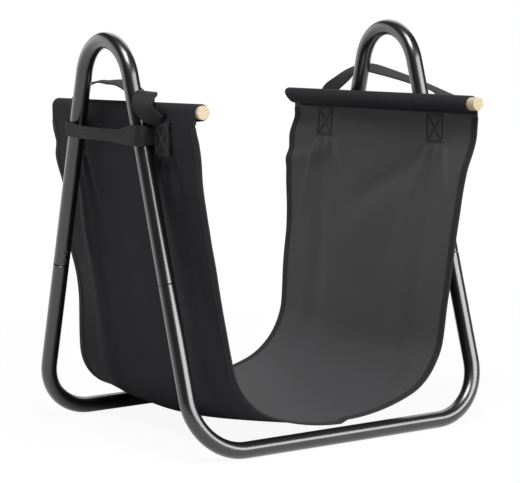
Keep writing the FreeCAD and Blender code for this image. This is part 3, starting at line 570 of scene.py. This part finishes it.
def ripple(side, y, z):
    # how far the canvas stands off its plain form, outwards, by place on a panel
    depth = dowelZ(side, y) - z
    held = smooth(*creases["held"], depth)
    low = smooth(*creases["low"], z)
    soft = noise.noise(Vector((y * 7 + side * 3.1, z * 5, side * 4.7)))
    soft += noise.noise(Vector((y * 16, z * 12 + side * 2.3, 8.1 + side))) * 0.4
    wave = noise.noise(Vector((z * 38, side * 5.2, copysign(3, y))))
    wave *= exp((abs(y) - sling["half"]) / creases["puckerReach"])
    total = low * (soft * creases["swell"] + wave * creases["pucker"]) - fanned(side, y, depth)
    for out, windows, middle, slope, tall in edgeFolds[sideWord(side)]:
        for window in windows:
            out *= smooth(*window, y)
        total += out * bell(depth, middle + slope * y, tall)
    if side < 0:
        line = creases["leftPlace"] + creases["leftSlant"] * depth
        along = smooth(*creases["leftTop"], depth) * smooth(*creases["leftLow"], depth)
        total += creases["leftFold"] * along * bell(y, line, creases["leftWidth"])
        # the free back strip is turned in behind the crease, at any depth
        strip = creases["strip"] * bell(z, creases["stripHeight"], creases["stripTall"])
        return held * total - strip * smooth(*creases["stripReach"], y)
    front = smooth(*creases["frontReach"], y) * smooth(*creases["frontTop"], depth)
    front *= creases["frontLow"] + (1 - creases["frontLow"]) * low
    back = smooth(*creases["backReach"], y) * smooth(*creases["backTop"], depth) * smooth(*creases["backLow"], depth)
    return held * (total - creases["frontDraw"] * front - creases["backDraw"] * back)


def forward(side, z):
    # the top of the right panel hangs a little nearer the front
    return sling["forward"] * smooth(*sling["forwardReach"], z) if side > 0 else 0


def slingPoint(side, y, row):
    # one point of the canvas in space, with its outward way
    (x, z), out, part = row
    pulled = forward(side, z)
    if part in ("sleeve", "tail", "hem") and side > 0:
        over = smooth(*sling["slantOver"], z - dowelZ(side, y))
        pulled += sling["slant"] * over * smooth(*sling["slantReach"], y)
    grow = ripple(side, y, z)
    way = out if part not in ("tail", "hem") else Vector((1, 0))
    point = Vector((side * (x + way.x * grow), y - pulled, z + way.y * grow))
    return point, Vector((side * out.x, 0, out.y))


def slingRow(y):
    # the whole girth at one place along the dowels, from the left hem to the right hem
    left = [slingPoint(-1, y, row) for row in slingSection(-1, y)]
    right = [slingPoint(1, y, row) for row in slingSection(1, y)]
    right[0] = ((left[0][0] + right[0][0]) / 2, left[0][1])
    return left[:0:-1] + right


def skinnedSheet(name, columns, skin, uvAlong, uvAcross, outer, inner):
    # two skins either side of a grid of (point, way), closed round the rim
    tall, wide = len(columns[0]), len(columns)
    under = tall * wide
    points, uvs, faces, kinds = [], [], [], []
    for sign in (1, -1):
        for place, column in enumerate(columns):
            for step, (point, way) in enumerate(column):
                points.append(point + way * (skin * sign))
                uvs.append((uvAcross[place], uvAlong[step]))
    for first in range(0, under - tall, tall):
        for corner in range(first, first + tall - 1):
            quad = [corner, corner + 1, corner + 1 + tall, corner + tall]
            faces += [tuple(reversed(quad)), tuple(number + under for number in quad)]
            kinds += [0, 1]
    rim = list(range(tall)) + list(range(2 * tall - 1, under, tall))
    rim += list(range(under - 2, under - tall - 1, -1)) + list(range(under - 2 * tall, 0, -tall))
    for first, second in zip(rim, rim[1:] + rim[:1]):
        faces.append((first, second, second + under, first + under))
        kinds.append(0)
    return newPiece(name, points, faces, [outer, inner], uvs, kinds, sharp=70)


def smoothNormals(columns):
    # true outward ways of the creased canvas, from its own neighbours
    made = []
    for number, column in enumerate(columns):
        before = columns[max(number - 1, 0)]
        after = columns[min(number + 1, len(columns) - 1)]
        fresh = []
        for step, (point, way) in enumerate(column):
            along = column[min(step + 1, len(column) - 1)][0] - column[max(step - 1, 0)][0]
            across = after[step][0] - before[step][0]
            true = along.cross(across)
            true = true.normalized() if true.length > 0 else way
            fresh.append((point, true if true.dot(way) > 0 else -true))
        made.append(fresh)
    return made


def addSling():
    places = [sling["half"] * (2 * number / sling["columns"] - 1) for number in range(sling["columns"] + 1)]
    columns = smoothNormals([slingRow(y) for y in places])
    girth = runAlong([point for point, way in columns[len(columns) // 2]])
    piece = skinnedSheet("slingCanvas", columns, sling["skin"], girth, places, finishes["outer"], finishes["inner"])
    dress(piece, "carrier", "black_canvas", "sling")
    print("sling cut: %.3f by %.3f m" % (2 * sling["half"], girth[-1]))
    return piece, girth[-1]


slingPiece, slingGirth = addSling()


# edge tape, folded over the canvas from hem to hem

tape = {"width": 0.010, "thick": 0.0006, "gap": 0.0001, "stop": 0.0175, "steps": 5, "turnSteps": 6, "turnShare": 0.75,
        "rowStep": 0.0025, "rows": 5, "sewn": 0.0022, "uvUnder": 0.03}


def tapeSection():
    # closed outline of the folded tape: distance in from the edge, and height over the canvas
    inner = sling["skin"] + tape["gap"]
    outer = inner + tape["thick"]
    across = [tape["width"] * step / tape["steps"] for step in range(tape["steps"] + 1)]
    line = [(inwards, outer) for inwards in reversed(across)]
    for step in range(1, tape["turnSteps"]):
        turn = pi * step / tape["turnSteps"]
        line.append((-outer * sin(turn) * tape["turnShare"], outer * cos(turn)))
    line += [(inwards, -outer) for inwards in across] + [(inwards, -inner) for inwards in reversed(across)]
    return line + [(-tape["gap"], 0)] + [(inwards, inner) for inwards in across]


def edgeRows(end):
    # the canvas near one edge, as rows across the tape: points at the edge and further in
    places = [end * (sling["half"] - step * tape["rowStep"]) for step in range(tape["rows"])]
    columns = smoothNormals([slingRow(y) for y in places])
    parts = [row[2] for row in slingSection(1, places[0])]
    parts = parts[:0:-1] + parts
    rows = []
    for number, part in enumerate(parts):
        side = -1 if number < len(parts) // 2 else 1
        under = dowelZ(side, places[0]) - columns[0][number][0].z
        if part not in ("sleeve", "tail", "hem") and under >= tape["stop"]:
            rows.append([column[number] for column in columns])
    return rows


def onStrip(row, inwards, height):
    # a place on the strip of canvas: how far in from the edge, how high over the middle of the cloth
    share = min(max(inwards, 0) / tape["rowStep"], tape["rows"] - 1.001)
    number = int(share)
    point = row[number][0].lerp(row[number + 1][0], share - number)
    way = row[number][1].lerp(row[number + 1][1], share - number).normalized()
    if inwards < 0:
        point = point + (row[0][0] - row[1][0]).normalized() * -inwards
    return point + way * height, way


def addTape(endName, end):
    rows = edgeRows(end)
    outline = tapeSection()
    loops = [[onStrip(row, inwards, height)[0] for inwards, height in outline] for row in rows]
    uvs = [(inwards + (tape["uvUnder"] if height < 0 else 0), run)
           for run in runAlong([row[0][0] for row in rows]) for inwards, height in outline]
    piece = loft(endName + "EdgeTape", loops, finishes["tape"], uvs, flip=end < 0, sharp=60)
    dress(piece, "carrier", "black_tape", endName + "_edge_binding")
    return piece, rows


tapes = {endName: addTape(endName, end) for endName, end in ends.items()}
print("edge tape folded")


# webbing: hanging straps, sewn tabs and handles

webbing = {"thick": 0.0016, "handleWidth": 0.038, "strapWidth": 0.020, "crown": 0.00015, "seat": 0.0136,
           "steps": 4, "uvUnder": 0.1}


def webbingSection(width):
    # rounded strip: across and over
    half, over, steps = width / 2, webbing["thick"] / 2, webbing["steps"]
    line = []
    for step in range(2 * steps + 1):
        across = (half - over) * (1 - step / steps)
        line.append((across, over + webbing["crown"] * (1 - (across / half) ** 2)))
    for turn in (pi * step / steps for step in range(1, steps)):
        line.append((-half + over - over * sin(turn), over * cos(turn)))
    return line + [(-across, -height) for across, height in line]


def webbingMesh(name, line, widths, bulge=None):
    # line: points with the way the strip's width runs; its face stands square to both, and may bulge
    loops, uvs = [], []
    for number, run in enumerate(runAlong([point for point, wide in line])):
        middle, wide = line[number]
        along = (line[min(number + 1, len(line) - 1)][0] - line[max(number - 1, 0)][0]).normalized()
        wide = (wide - along * wide.dot(along)).normalized()
        out = along.cross(wide)
        section = webbingSection(widths[number])
        loops.append([middle + wide * across + out * (over + (bulge(number, across) if bulge else 0))
                      for across, over in section])
        uvs += [(across + (webbing["uvUnder"] if over < 0 else 0), run) for across, over in section]
    return loft(name, loops, finishes["webbing"], uvs, sharp=50)


def sideFrame(side):
    # a dowel's middle, with Y along the dowel
    hung = sling[sideWord(side)]
    middle = Matrix.Translation((side * sling["spacing"] / 2, 0, hung["height"]))
    return middle @ Matrix.Rotation(side * sling["toe"], 4, "Z") @ Matrix.Rotation(-hung["pitch"], 4, "X")


# angles in degrees; what differs between the arms is given by end, 1 at the back and -1 at the front
handles = {"half": 0.120, "sewn": (-0.058, -0.044, -0.030, -0.016, -0.006), "tabRise": 0.008, "step": 0.004,
           "armSteps": 6, "bendSteps": 16, "gripSteps": 20, "leadHeight": 0.025, "easeRounds": 6, "easeFrom": 14,
           "left": {"height": 0.032, "angle": 38, "arms": {1: 0, -1: 0}, "flat": {1: 88, -1: 88},
                    "bend": {1: 0.025, -1: 0.025}, "lead": {1: 0, -1: 0}},
           "right": {"height": 0.057, "angle": 75, "arms": {1: 25, -1: 27}, "flat": {1: 80, -1: 107},
                     "bend": {1: 0.030, -1: 0.048}, "lead": {1: 0.012, -1: 0.008}}}
# the left handle's slack front arm: place, the way its width runs, share of the width
curl = [((-0.2195, -0.1180, 0.4310), (-0.12, 0.98, -0.10), 0.84),
        ((-0.2300, -0.1100, 0.4385), (-0.45, 0.82, -0.15), 0.62),
        ((-0.2365, -0.1010, 0.4465), (-0.65, 0.74, -0.05), 0.66),
        ((-0.2375, -0.0975, 0.4555), (-0.70, 0.70, 0.05), 0.75),
        ((-0.2320, -0.0950, 0.4640), (-0.65, 0.74, 0.10), 0.80),
        ((-0.2260, -0.0900, 0.4690), (-0.80, 0.58, 0.15), 0.70),
        ((-0.2150, -0.0800, 0.4690), (-0.85, 0.50, 0.10), 0.60),
        ((-0.2070, -0.0660, 0.4645), (-0.95, 0.20, 0.20), 0.55),
        ((-0.2010, -0.0450, 0.4620), (-0.97, 0.00, 0.22), 0.80)]
curlEnds = {"sewn": 4, "grip": -0.030}
grip = {"height": (0.462, 0.470), "front": (-0.08, -0.04), "back": (0.11, 0.08), "bow": 0.003, "bowPlace": 0.045,
        "bowWidth": 0.045, "sink": 0.0030, "sinkReach": (0.07, 0.01), "droop": 0.0125, "droopReach": (0.020, -0.040),
        "tip": tan(radians(13.5)), "tipReach": (0.035, -0.015)}


def handleHalf(side, end):
    # one half of a handle, from its sewn end to the middle of the grip: points with the way the width runs
    shape = handles[sideWord(side)]
    half, bend, steps = handles["half"], shape["bend"][end], handles["bendSteps"]
    rise = shape["height"] - bend
    stations = [(half, rise * step / handles["armSteps"], 0, 0) for step in range(1, handles["armSteps"])]
    for step in range(steps + 1):
        turn = pi / 2 * step / steps
        stations.append((half - bend * (1 - cos(turn)), rise + bend * sin(turn), turn, step / steps))
    for step in range(1, handles["gripSteps"] + 1):
        stations.append(((half - bend) * (1 - step / handles["gripSteps"]), shape["height"], pi / 2, 1))
    foot = Vector((side * webbing["seat"], 0, handles["tabRise"]))
    made = [(Vector((foot.x, end * half, z)), Vector((0, end, 0))) for z in handles["sewn"]]
    for across, height, turn, share in stations:
        aside = across / half
        angle = shape["angle"] - shape["arms"][end] * end * aside
        lean = Matrix.Rotation(radians(angle), 3, "Y")
        flat = (shape["flat"][1] + shape["flat"][-1]) * (1 - aside) / 2 + shape["flat"][end] * aside
        twist = radians(flat - angle) * share
        across -= shape["lead"][end] * smooth(0, handles["leadHeight"], height) * aside
        wide = Vector((sin(twist), end * cos(turn) * cos(twist), sin(turn) * cos(twist)))
        made.append((foot + lean @ Vector((0, end * across, height)), lean @ wide))
    place = sideFrame(side)
    return [(place @ point, place.to_3x3() @ wide, 1.0) for point, wide in made]


def leftFront(line):
    # the slack of the left handle's front arm, curled out past the leg
    sewn = len(handles["sewn"])
    rest = [station for station in line[sewn:] if station[0].y > curlEnds["grip"]]
    slack = [(Vector(point), -Vector(wide).normalized(), width) for point, wide, width in curl]
    return line[:curlEnds["sewn"]] + slack + rest


def spline(knots, step):
    # a smooth line through the knots, with the widths turned along it
    padded = [knots[0]] + knots + [knots[-1]]
    made = []
    for four in zip(padded, padded[1:], padded[2:], padded[3:]):
        first, second = four[1:3]
        count = max(1, round((second[0] - first[0]).length / step))
        for t in (number / count for number in range(count)):
            pull = [(-t ** 3 + 2 * t ** 2 - t) / 2, (3 * t ** 3 - 5 * t ** 2 + 2) / 2,
                    (-3 * t ** 3 + 4 * t ** 2 + t) / 2, (t ** 3 - t ** 2) / 2]
            point = sum((knot[0] * weight for knot, weight in zip(four, pull)), Vector())
            made.append((point, first[1].lerp(second[1], t).normalized(), first[2] + (second[2] - first[2]) * t))
    return made + [knots[-1]]


def relaxed(line, rounds, first):
    # kinks eased out of a line between its sewn ends
    for turn in range(rounds):
        fresh = list(line)
        for number in range(first, len(line) - first):
            three = zip(*line[number - 1:number + 2])
            point, wide, width = (before + here * 2 + after for before, here, after in three)
            fresh[number] = (point / 4, wide.normalized(), width / 4)
        line = fresh
    return line


def arched(point, wide):
    # the left grip bows up a little, and its drooping front tips inwards
    y = point.y
    over = smooth(*grip["height"], point.z) * smooth(*grip["front"], y) * smooth(*grip["back"], y)
    lift = grip["bow"] * bell(y, grip["bowPlace"], grip["bowWidth"]) - grip["sink"] * smooth(*grip["sinkReach"], y)
    lift -= grip["droop"] * smooth(*grip["droopReach"], y)
    tip = copysign(grip["tip"] * over * smooth(*grip["tipReach"], y), wide.x)
    return point + Vector((0, 0, lift * over)), (wide - Vector((0, 0, tip))).normalized()


def addHandle(side):
    front, back = handleHalf(side, -1), handleHalf(side, 1)
    if side < 0:
        front = leftFront(front)
    line = front + back[-2::-1]
    turned = [line[0]]
    for point, wide, width in line[1:]:
        turned.append((point, wide if wide.dot(turned[-1][1]) > 0 else -wide, width))
    line = relaxed(spline(turned, handles["step"]), handles["easeRounds"], handles["easeFrom"])
    widths = [webbing["handleWidth"] * width for point, wide, width in line]
    line = [arched(point, wide) if side < 0 else (point, wide) for point, wide, width in line]
    return webbingMesh(sideWord(side) + "HandleWebbing", line, widths)


blendFrom = -0.004
for name, side in sides.items():
    handle = addHandle(side)
    low = sideFrame(side) @ Vector((side * webbing["seat"], 0, blendFrom))
    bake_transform(handle)
    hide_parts(name + "_handle", name + "_handle_tabs")
print("handles looped")


straps = {"height": 0.411, "run": 0.24215, "arm": 0.09783, "bend": 0.009, "fold": 0.002, "seat": 0.0119,
          "last": 0.139, "foldSteps": 6, "bendSteps": 12, "step": 0.002, "slack": 0.0012, "free": 0.07,
          "onRun": (0.2395, 0.2415), "atLeg": (0.222, 0.236), "front": (-0.045, -0.080), "back": (0.05, 0.09),
          "frontLift": 0.0030, "backLift": 0.0020, "tilt": 0.16, "tiltWaves": 21, "tiltStart": 0.6,
          "narrow": 0.16, "widen": 0.34, "crumple": 0.0016, "crumpleWaves": (900, 190), "uneven": (60, 80),
          "crease": 0.0007, "creasePlace": 0.004, "creaseSlant": 0.05, "creaseWidth": 0.0018}


def strapHalf(end):
    # half a right hanging strap seen from above: from its sewn end to the middle of its run
    height, arm, fold, bend, run = (straps[key] for key in ("height", "arm", "fold", "bend", "run"))
    seat = sling["spacing"] / 2 + straps["seat"] / cos(sling["toe"])
    first, near = (Vector((seat - y * tan(sling["toe"]), y, height))
                   for y in (end * straps["last"], end * (arm + fold)))
    points = [first, first.lerp(near, 0.5), near]
    corner = Vector((run - bend, end * (arm - bend), height))
    turns = arc(near + axisX * fold, -axisX, -end * axisY, fold, 0, pi / 2, straps["foldSteps"])[1:]
    turns += arc(corner, end * axisY, axisX, bend, 0, pi / 2, straps["bendSteps"])
    return points + [point for point, way in turns] + [Vector((run, 0, height))]


def evenly(points, step):
    # points at even steps along a line of points
    run = runAlong(points)
    count = max(2, round(run[-1] / step))
    wants = [run[-1] * place / count for place in range(count + 1)]
    return [points[number].lerp(points[number + 1], share) for number, share in walked(run, wants)]


def addStrap(name, side):
    made, widths, places = [], [], []
    for point in evenly(strapHalf(-1) + strapHalf(1)[-2::-1], straps["step"]):
        x, y, z = point
        onRun = smooth(*straps["onRun"], x)
        free = max(0, 1 - (y / straps["free"]) ** 2) * onRun
        gathered = smooth(*straps["front"], y) * smooth(*straps["atLeg"], x)
        z += straps["frontLift"] * gathered + straps["backLift"] * smooth(*straps["back"], y)
        tilt = straps["tilt"] * sin(y * straps["tiltWaves"] + straps["tiltStart"]) * onRun
        made.append((Vector((side * (x + straps["slack"] * free), y, z)), Vector((side * tilt, 0, 1))))
        widths.append(webbing["strapWidth"] * (1 - straps["narrow"] * free + straps["widen"] * gathered))
        places.append((y, gathered, onRun))

    def crumple(number, across):
        # folds gathered at the front leg, always away from it
        y, gathered, onRun = places[number]
        (fine, slow), (wide, long) = straps["crumpleWaves"], straps["uneven"]
        uneven = 2 * noise.noise(Vector((y * wide, across * long, side)))
        fold = 0.5 + 0.5 * sin(across * fine + y * slow + uneven)
        crease = bell(across, straps["creasePlace"] - y * straps["creaseSlant"], straps["creaseWidth"])
        return side * (gathered * straps["crumple"] * fold + onRun * straps["crease"] * crease)

    piece = webbingMesh(name + "StrapWebbing", made, widths, crumple)
    dress(piece, "carrier", "black_webbing", name + "_hanging_strap")


for name, side in sides.items():
    addStrap(name, side)
print("straps hung")


# dowels

dowels = {"radius": 0.009, "length": 0.400, "chamfer": 0.0008, "round": 0.4, "core": 0.004, "inset": 0.1, "sides": 40,
          "overhang": {"left": 0.006, "right": 0.022}}


def addDowel(name, side):
    place = sideFrame(side)
    radius, chamfer, core, inset = (dowels[key] for key in ("radius", "chamfer", "core", "inset"))
    back = dowels["length"] - sling["half"] - dowels["overhang"][name]
    front = back - dowels["length"]
    eased = chamfer * dowels["round"]
    rings = [(front, core), (front, radius - chamfer), (front + eased, radius - eased), (front + chamfer, radius),
             (front + inset, radius), (back - inset, radius), (back - chamfer, radius), (back, radius - chamfer),
             (back, core)]
    around = turnsOf(dowels["sides"])
    loops = [[place @ Vector((reach * cos(turn), y, reach * sin(turn))) for turn in around]
             for y, reach in rings]
    uvs = [(turn * radius, y) for y, reach in rings for turn in around]
    piece = loft(name + "DowelWood", loops, finishes["wood"], uvs, flip=True, sharp=30)
    dress(piece, name + "_dowel", "raw_wood", name + "_dowel")
    return piece


dowelPieces = [addDowel(name, side) for name, side in sides.items()]
print("dowels turned")


# stitches

stitch = {"length": 0.0030, "thick": 0.0005, "flat": 0.8, "dip": 0.0004, "corners": 5, "steps": 4, "pitch": 0.0038,
          "lift": 0.00012, "boxScale": 2.0, "boxHalf": 0.0165, "boxInset": 0.002, "boxOutside": (-0.055, -0.016),
          "boxInside": (-0.056, -0.0175), "hem": 0.0022, "hemShare": 0.93, "hemSteps": 100, "spare": 1 / 3,
          "boxRows": 24, "feel": 0.002}


def threadShape():
    # one short stitch along X, dipping into the cloth at both ends
    loops = []
    for step in range(stitch["steps"] + 1):
        share = step / stitch["steps"] * 2 - 1
        radius = stitch["thick"] * (1 - 0.5 * share ** 4)
        loops.append([(share * stitch["length"] / 2, radius * cos(turn),
                       radius * sin(turn) * stitch["flat"] - stitch["dip"] * share ** 4)
                      for turn in turnsOf(stitch["corners"])])
    return loft("threadShape", loops, finishes["thread"], sharp=80)


def stitchLine(line):
    # line: points on a face with the way the face looks; stitches at even steps along it
    run = runAlong([point for point, way in line])
    count = round(run[-1] / stitch["pitch"] - stitch["spare"])
    places = []
    for number, share in walked(run, [stitch["pitch"] * (step + 0.5) for step in range(count)]):
        (first, firstWay), (second, secondWay) = line[number:number + 2]
        out = firstWay.lerp(secondWay, share).normalized()
        places.append((first.lerp(second, share) + out * stitch["lift"], second - first, out))
    return places


def boxLines(middle, low, high):
    # a sewn box with a cross in it, each run sewn twice, as straight runs of (across, height)
    inset, rows = stitch["boxInset"], stitch["boxRows"]
    left, right = middle - stitch["boxHalf"], middle + stitch["boxHalf"]
    for step in (0, inset):
        y0, y1, z0, z1 = left + step, right - step, low + step, high - step
        corners = [(y0, z0), (y1, z0), (y1, z1), (y0, z1)]
        runs = list(zip(corners, corners[1:] + corners[:1]))
        runs += [((y0 + step, z0), (y1 + step - inset, z1)), ((y1 - step, z0), (y0 - step + inset, z1))]
        for (y0, z0), (y1, z1) in runs:
            yield [(y0 + (y1 - y0) * number / rows, z0 + (z1 - z0) * number / rows) for number in range(rows + 1)]


def panelPlace(side, y, depth, inside):
    # a place on a panel's face so far under the dowel, and the way that face looks
    found = []
    z = dowelZ(side, y) - depth
    y += forward(side, z)
    for place in (y - stitch["feel"], y, y + stitch["feel"]):
        rows = [row for row in slingSection(side, place) if row[2] in ("line", "bend", "straight")]
        number = next(i for i, row in enumerate(rows) if row[0].y > z)
        low, high = (slingPoint(side, place, row)[0] for row in rows[number - 1:number + 1])
        share = (z - low.z) / (high.z - low.z)
        found.append((low.lerp(high, share), high - low))
    out = found[1][1].cross(found[2][0] - found[0][0]).normalized()
    if (out.x * side > 0) == inside:
        out = -out
    return found[1][0] + out * sling["skin"], out


def addStitches():
    thread = threadShape()
    places = {"frontTape": [], "backTape": [], "hems": [], "boxes": []}
    over = sling["skin"] + tape["gap"] + tape["thick"]
    for endName, (piece, rows) in tapes.items():
        for sign in (1, -1):
            line = [onStrip(row, tape["width"] - tape["sewn"], over * sign) for row in rows]
            places[endName + "Tape"] += stitchLine([(point, way * sign) for point, way in line])
    for side in sides.values():
        for inside in (False, True):
            line = []
            for number in range(stitch["hemSteps"] + 1):
                y = sling["half"] * (2 * number / stitch["hemSteps"] - 1) * stitch["hemShare"]
                point, out = panelPlace(side, y - forward(side, 1), sling["hemDrop"] - stitch["hem"], inside)
                line.append((point + out * (sling["tuck"] if inside else 0), out))
            places["hems"] += stitchLine(line)
        turned = sideFrame(side)
        face = turned.to_3x3() @ Vector((side, 0, 0))
        seat = side * (webbing["seat"] + webbing["thick"] / 2 + webbing["crown"])
        for middle in (-sling["tabPlace"], sling["tabPlace"]):
            for run in boxLines(middle, *stitch["boxOutside"]):
                places["boxes"] += stitchLine([(turned @ Vector((seat, y, z)), face) for y, z in run])
            for run in boxLines(middle, *stitch["boxInside"]):
                places["boxes"] += stitchLine([panelPlace(side, y, -z, True) for y, z in run])
    made = []
    for name, spots in places.items():
        scale = stitch["boxScale"] if name == "boxes" else 1.0
        made.append(dress(placeShapes(name + "Stitches", thread, finishes["thread"], spots, scale),
                          "carrier", "black_tape"))
        print("stitches on", name, len(spots))
    bpy.data.objects.remove(thread)
    return made


stitchPieces = addStitches()


# floor and light

# the under entries paint a shadow on the floor as reflections see it, beneath the bag
studio = {"floor": 30, "near": 0.925, "far": 1.0, "fade": (0.8, 2.2), "under": 0.10, "mirroredShadowY": 0.06,
          "mirroredShadowFade": (0.16, 0.30), "shade": 0.05, "bounce": 0.8, "world": 0.05, "aim": Vector((0, 0, 0.25))}


def rangeNode(tree, value, span, levels):
    inputs = dict(zip(("From Min", "From Max", "To Min", "To Max"), (*span, *levels)), Value=value)
    return newNode(tree, "ShaderNodeMapRange", inputs, interpolation_type="SMOOTHSTEP").outputs["Result"]


def addFloor():
    # white where it is seen or mirrored, keeping a faint shadow, with a painted shadow on the mirrored floor under
    # the bag;
    # a plain pale floor for all other light
    size = studio["floor"]
    corners = [(-size, -size, 0), (size, -size, 0), (size, size, 0), (-size, size, 0)]
    material = bpy.data.materials.new("paleFloor")
    piece = newPiece("floor", corners, [(0, 1, 2, 3)], [material])
    material.use_nodes = True
    tree = material.node_tree
    tree.nodes.remove(tree.nodes["Principled BSDF"])
    path = newNode(tree, "ShaderNodeLightPath").outputs
    place = newNode(tree, "ShaderNodeTexCoord").outputs["Object"]
    away = newNode(tree, "ShaderNodeVectorMath", {0: place}, operation="LENGTH").outputs["Value"]
    level = rangeNode(tree, away, studio["fade"], (studio["near"], studio["far"]))
    # painted shadow: glossy rays see the floor darker round the spot under the bag, in place of the shade the bag
    # casts there
    below = newNode(tree, "ShaderNodeVectorMath", {0: place, 1: (0, studio["mirroredShadowY"], 0)}, operation="DISTANCE")
    under = rangeNode(tree, below.outputs["Value"], studio["mirroredShadowFade"], (1 - studio["under"], 0))
    under = mathNode(tree, "MULTIPLY", under, path["Is Glossy Ray"])
    white = newNode(tree, "ShaderNodeEmission", {"Strength": mathNode(tree, "SUBTRACT", level, under)})
    shaded = newNode(tree, "ShaderNodeBsdfDiffuse", {"Color": (*grey(studio["shade"]), 1)})
    both = newNode(tree, "ShaderNodeAddShader", {0: white.outputs[0], 1: shaded.outputs[0]})
    bounce = newNode(tree, "ShaderNodeBsdfDiffuse", {"Color": (*grey(studio["bounce"]), 1)})
    looked = mathNode(tree, "MAXIMUM", path["Is Camera Ray"], path["Is Glossy Ray"])
    looked = mathNode(tree, "MAXIMUM", looked, path["Is Transmission Ray"])
    mix = newNode(tree, "ShaderNodeMixShader", {0: looked, 1: bounce.outputs[0], 2: both.outputs[0]})
    tree.links.new(mix.outputs[0], tree.nodes["Material Output"].inputs["Surface"])


def addWorld():
    world = bpy.data.worlds.new("studio")
    world.use_nodes = True
    backdrop = world.node_tree.nodes["Background"]
    backdrop.inputs["Color"].default_value = (1, 1, 1, 1)
    backdrop.inputs["Strength"].default_value = studio["world"]
    scene.world = world


lamps = {
    "front": {"place": (1.35, -3.75, 1.75), "size": (4.4, 1.8), "power": 220},
    "top": {"place": (-0.9, -1.3, 3.6), "size": (1.8, 1.8), "power": 180},
    "rear": {"place": (1.9, 2.1, 2.4), "size": (2.6, 2.6), "power": 30},
    "backdrop": {"place": (-2.2, 3.6, 1.5), "size": (6.0, 2.4), "power": 62},
}


def addLamps():
    for name, lamp in lamps.items():
        data = bpy.data.lights.new(name, "AREA")
        data.shape = "RECTANGLE"
        data.size, data.size_y = lamp["size"]
        data.energy = lamp["power"]
        item = newObject(name, data)
        item.location = lamp["place"]
        item.rotation_euler = (studio["aim"] - item.location).to_track_quat("-Z", "Y").to_euler()


addFloor()
addWorld()
addLamps()
scene.view_settings.view_transform = "Standard"
print("studio lit")
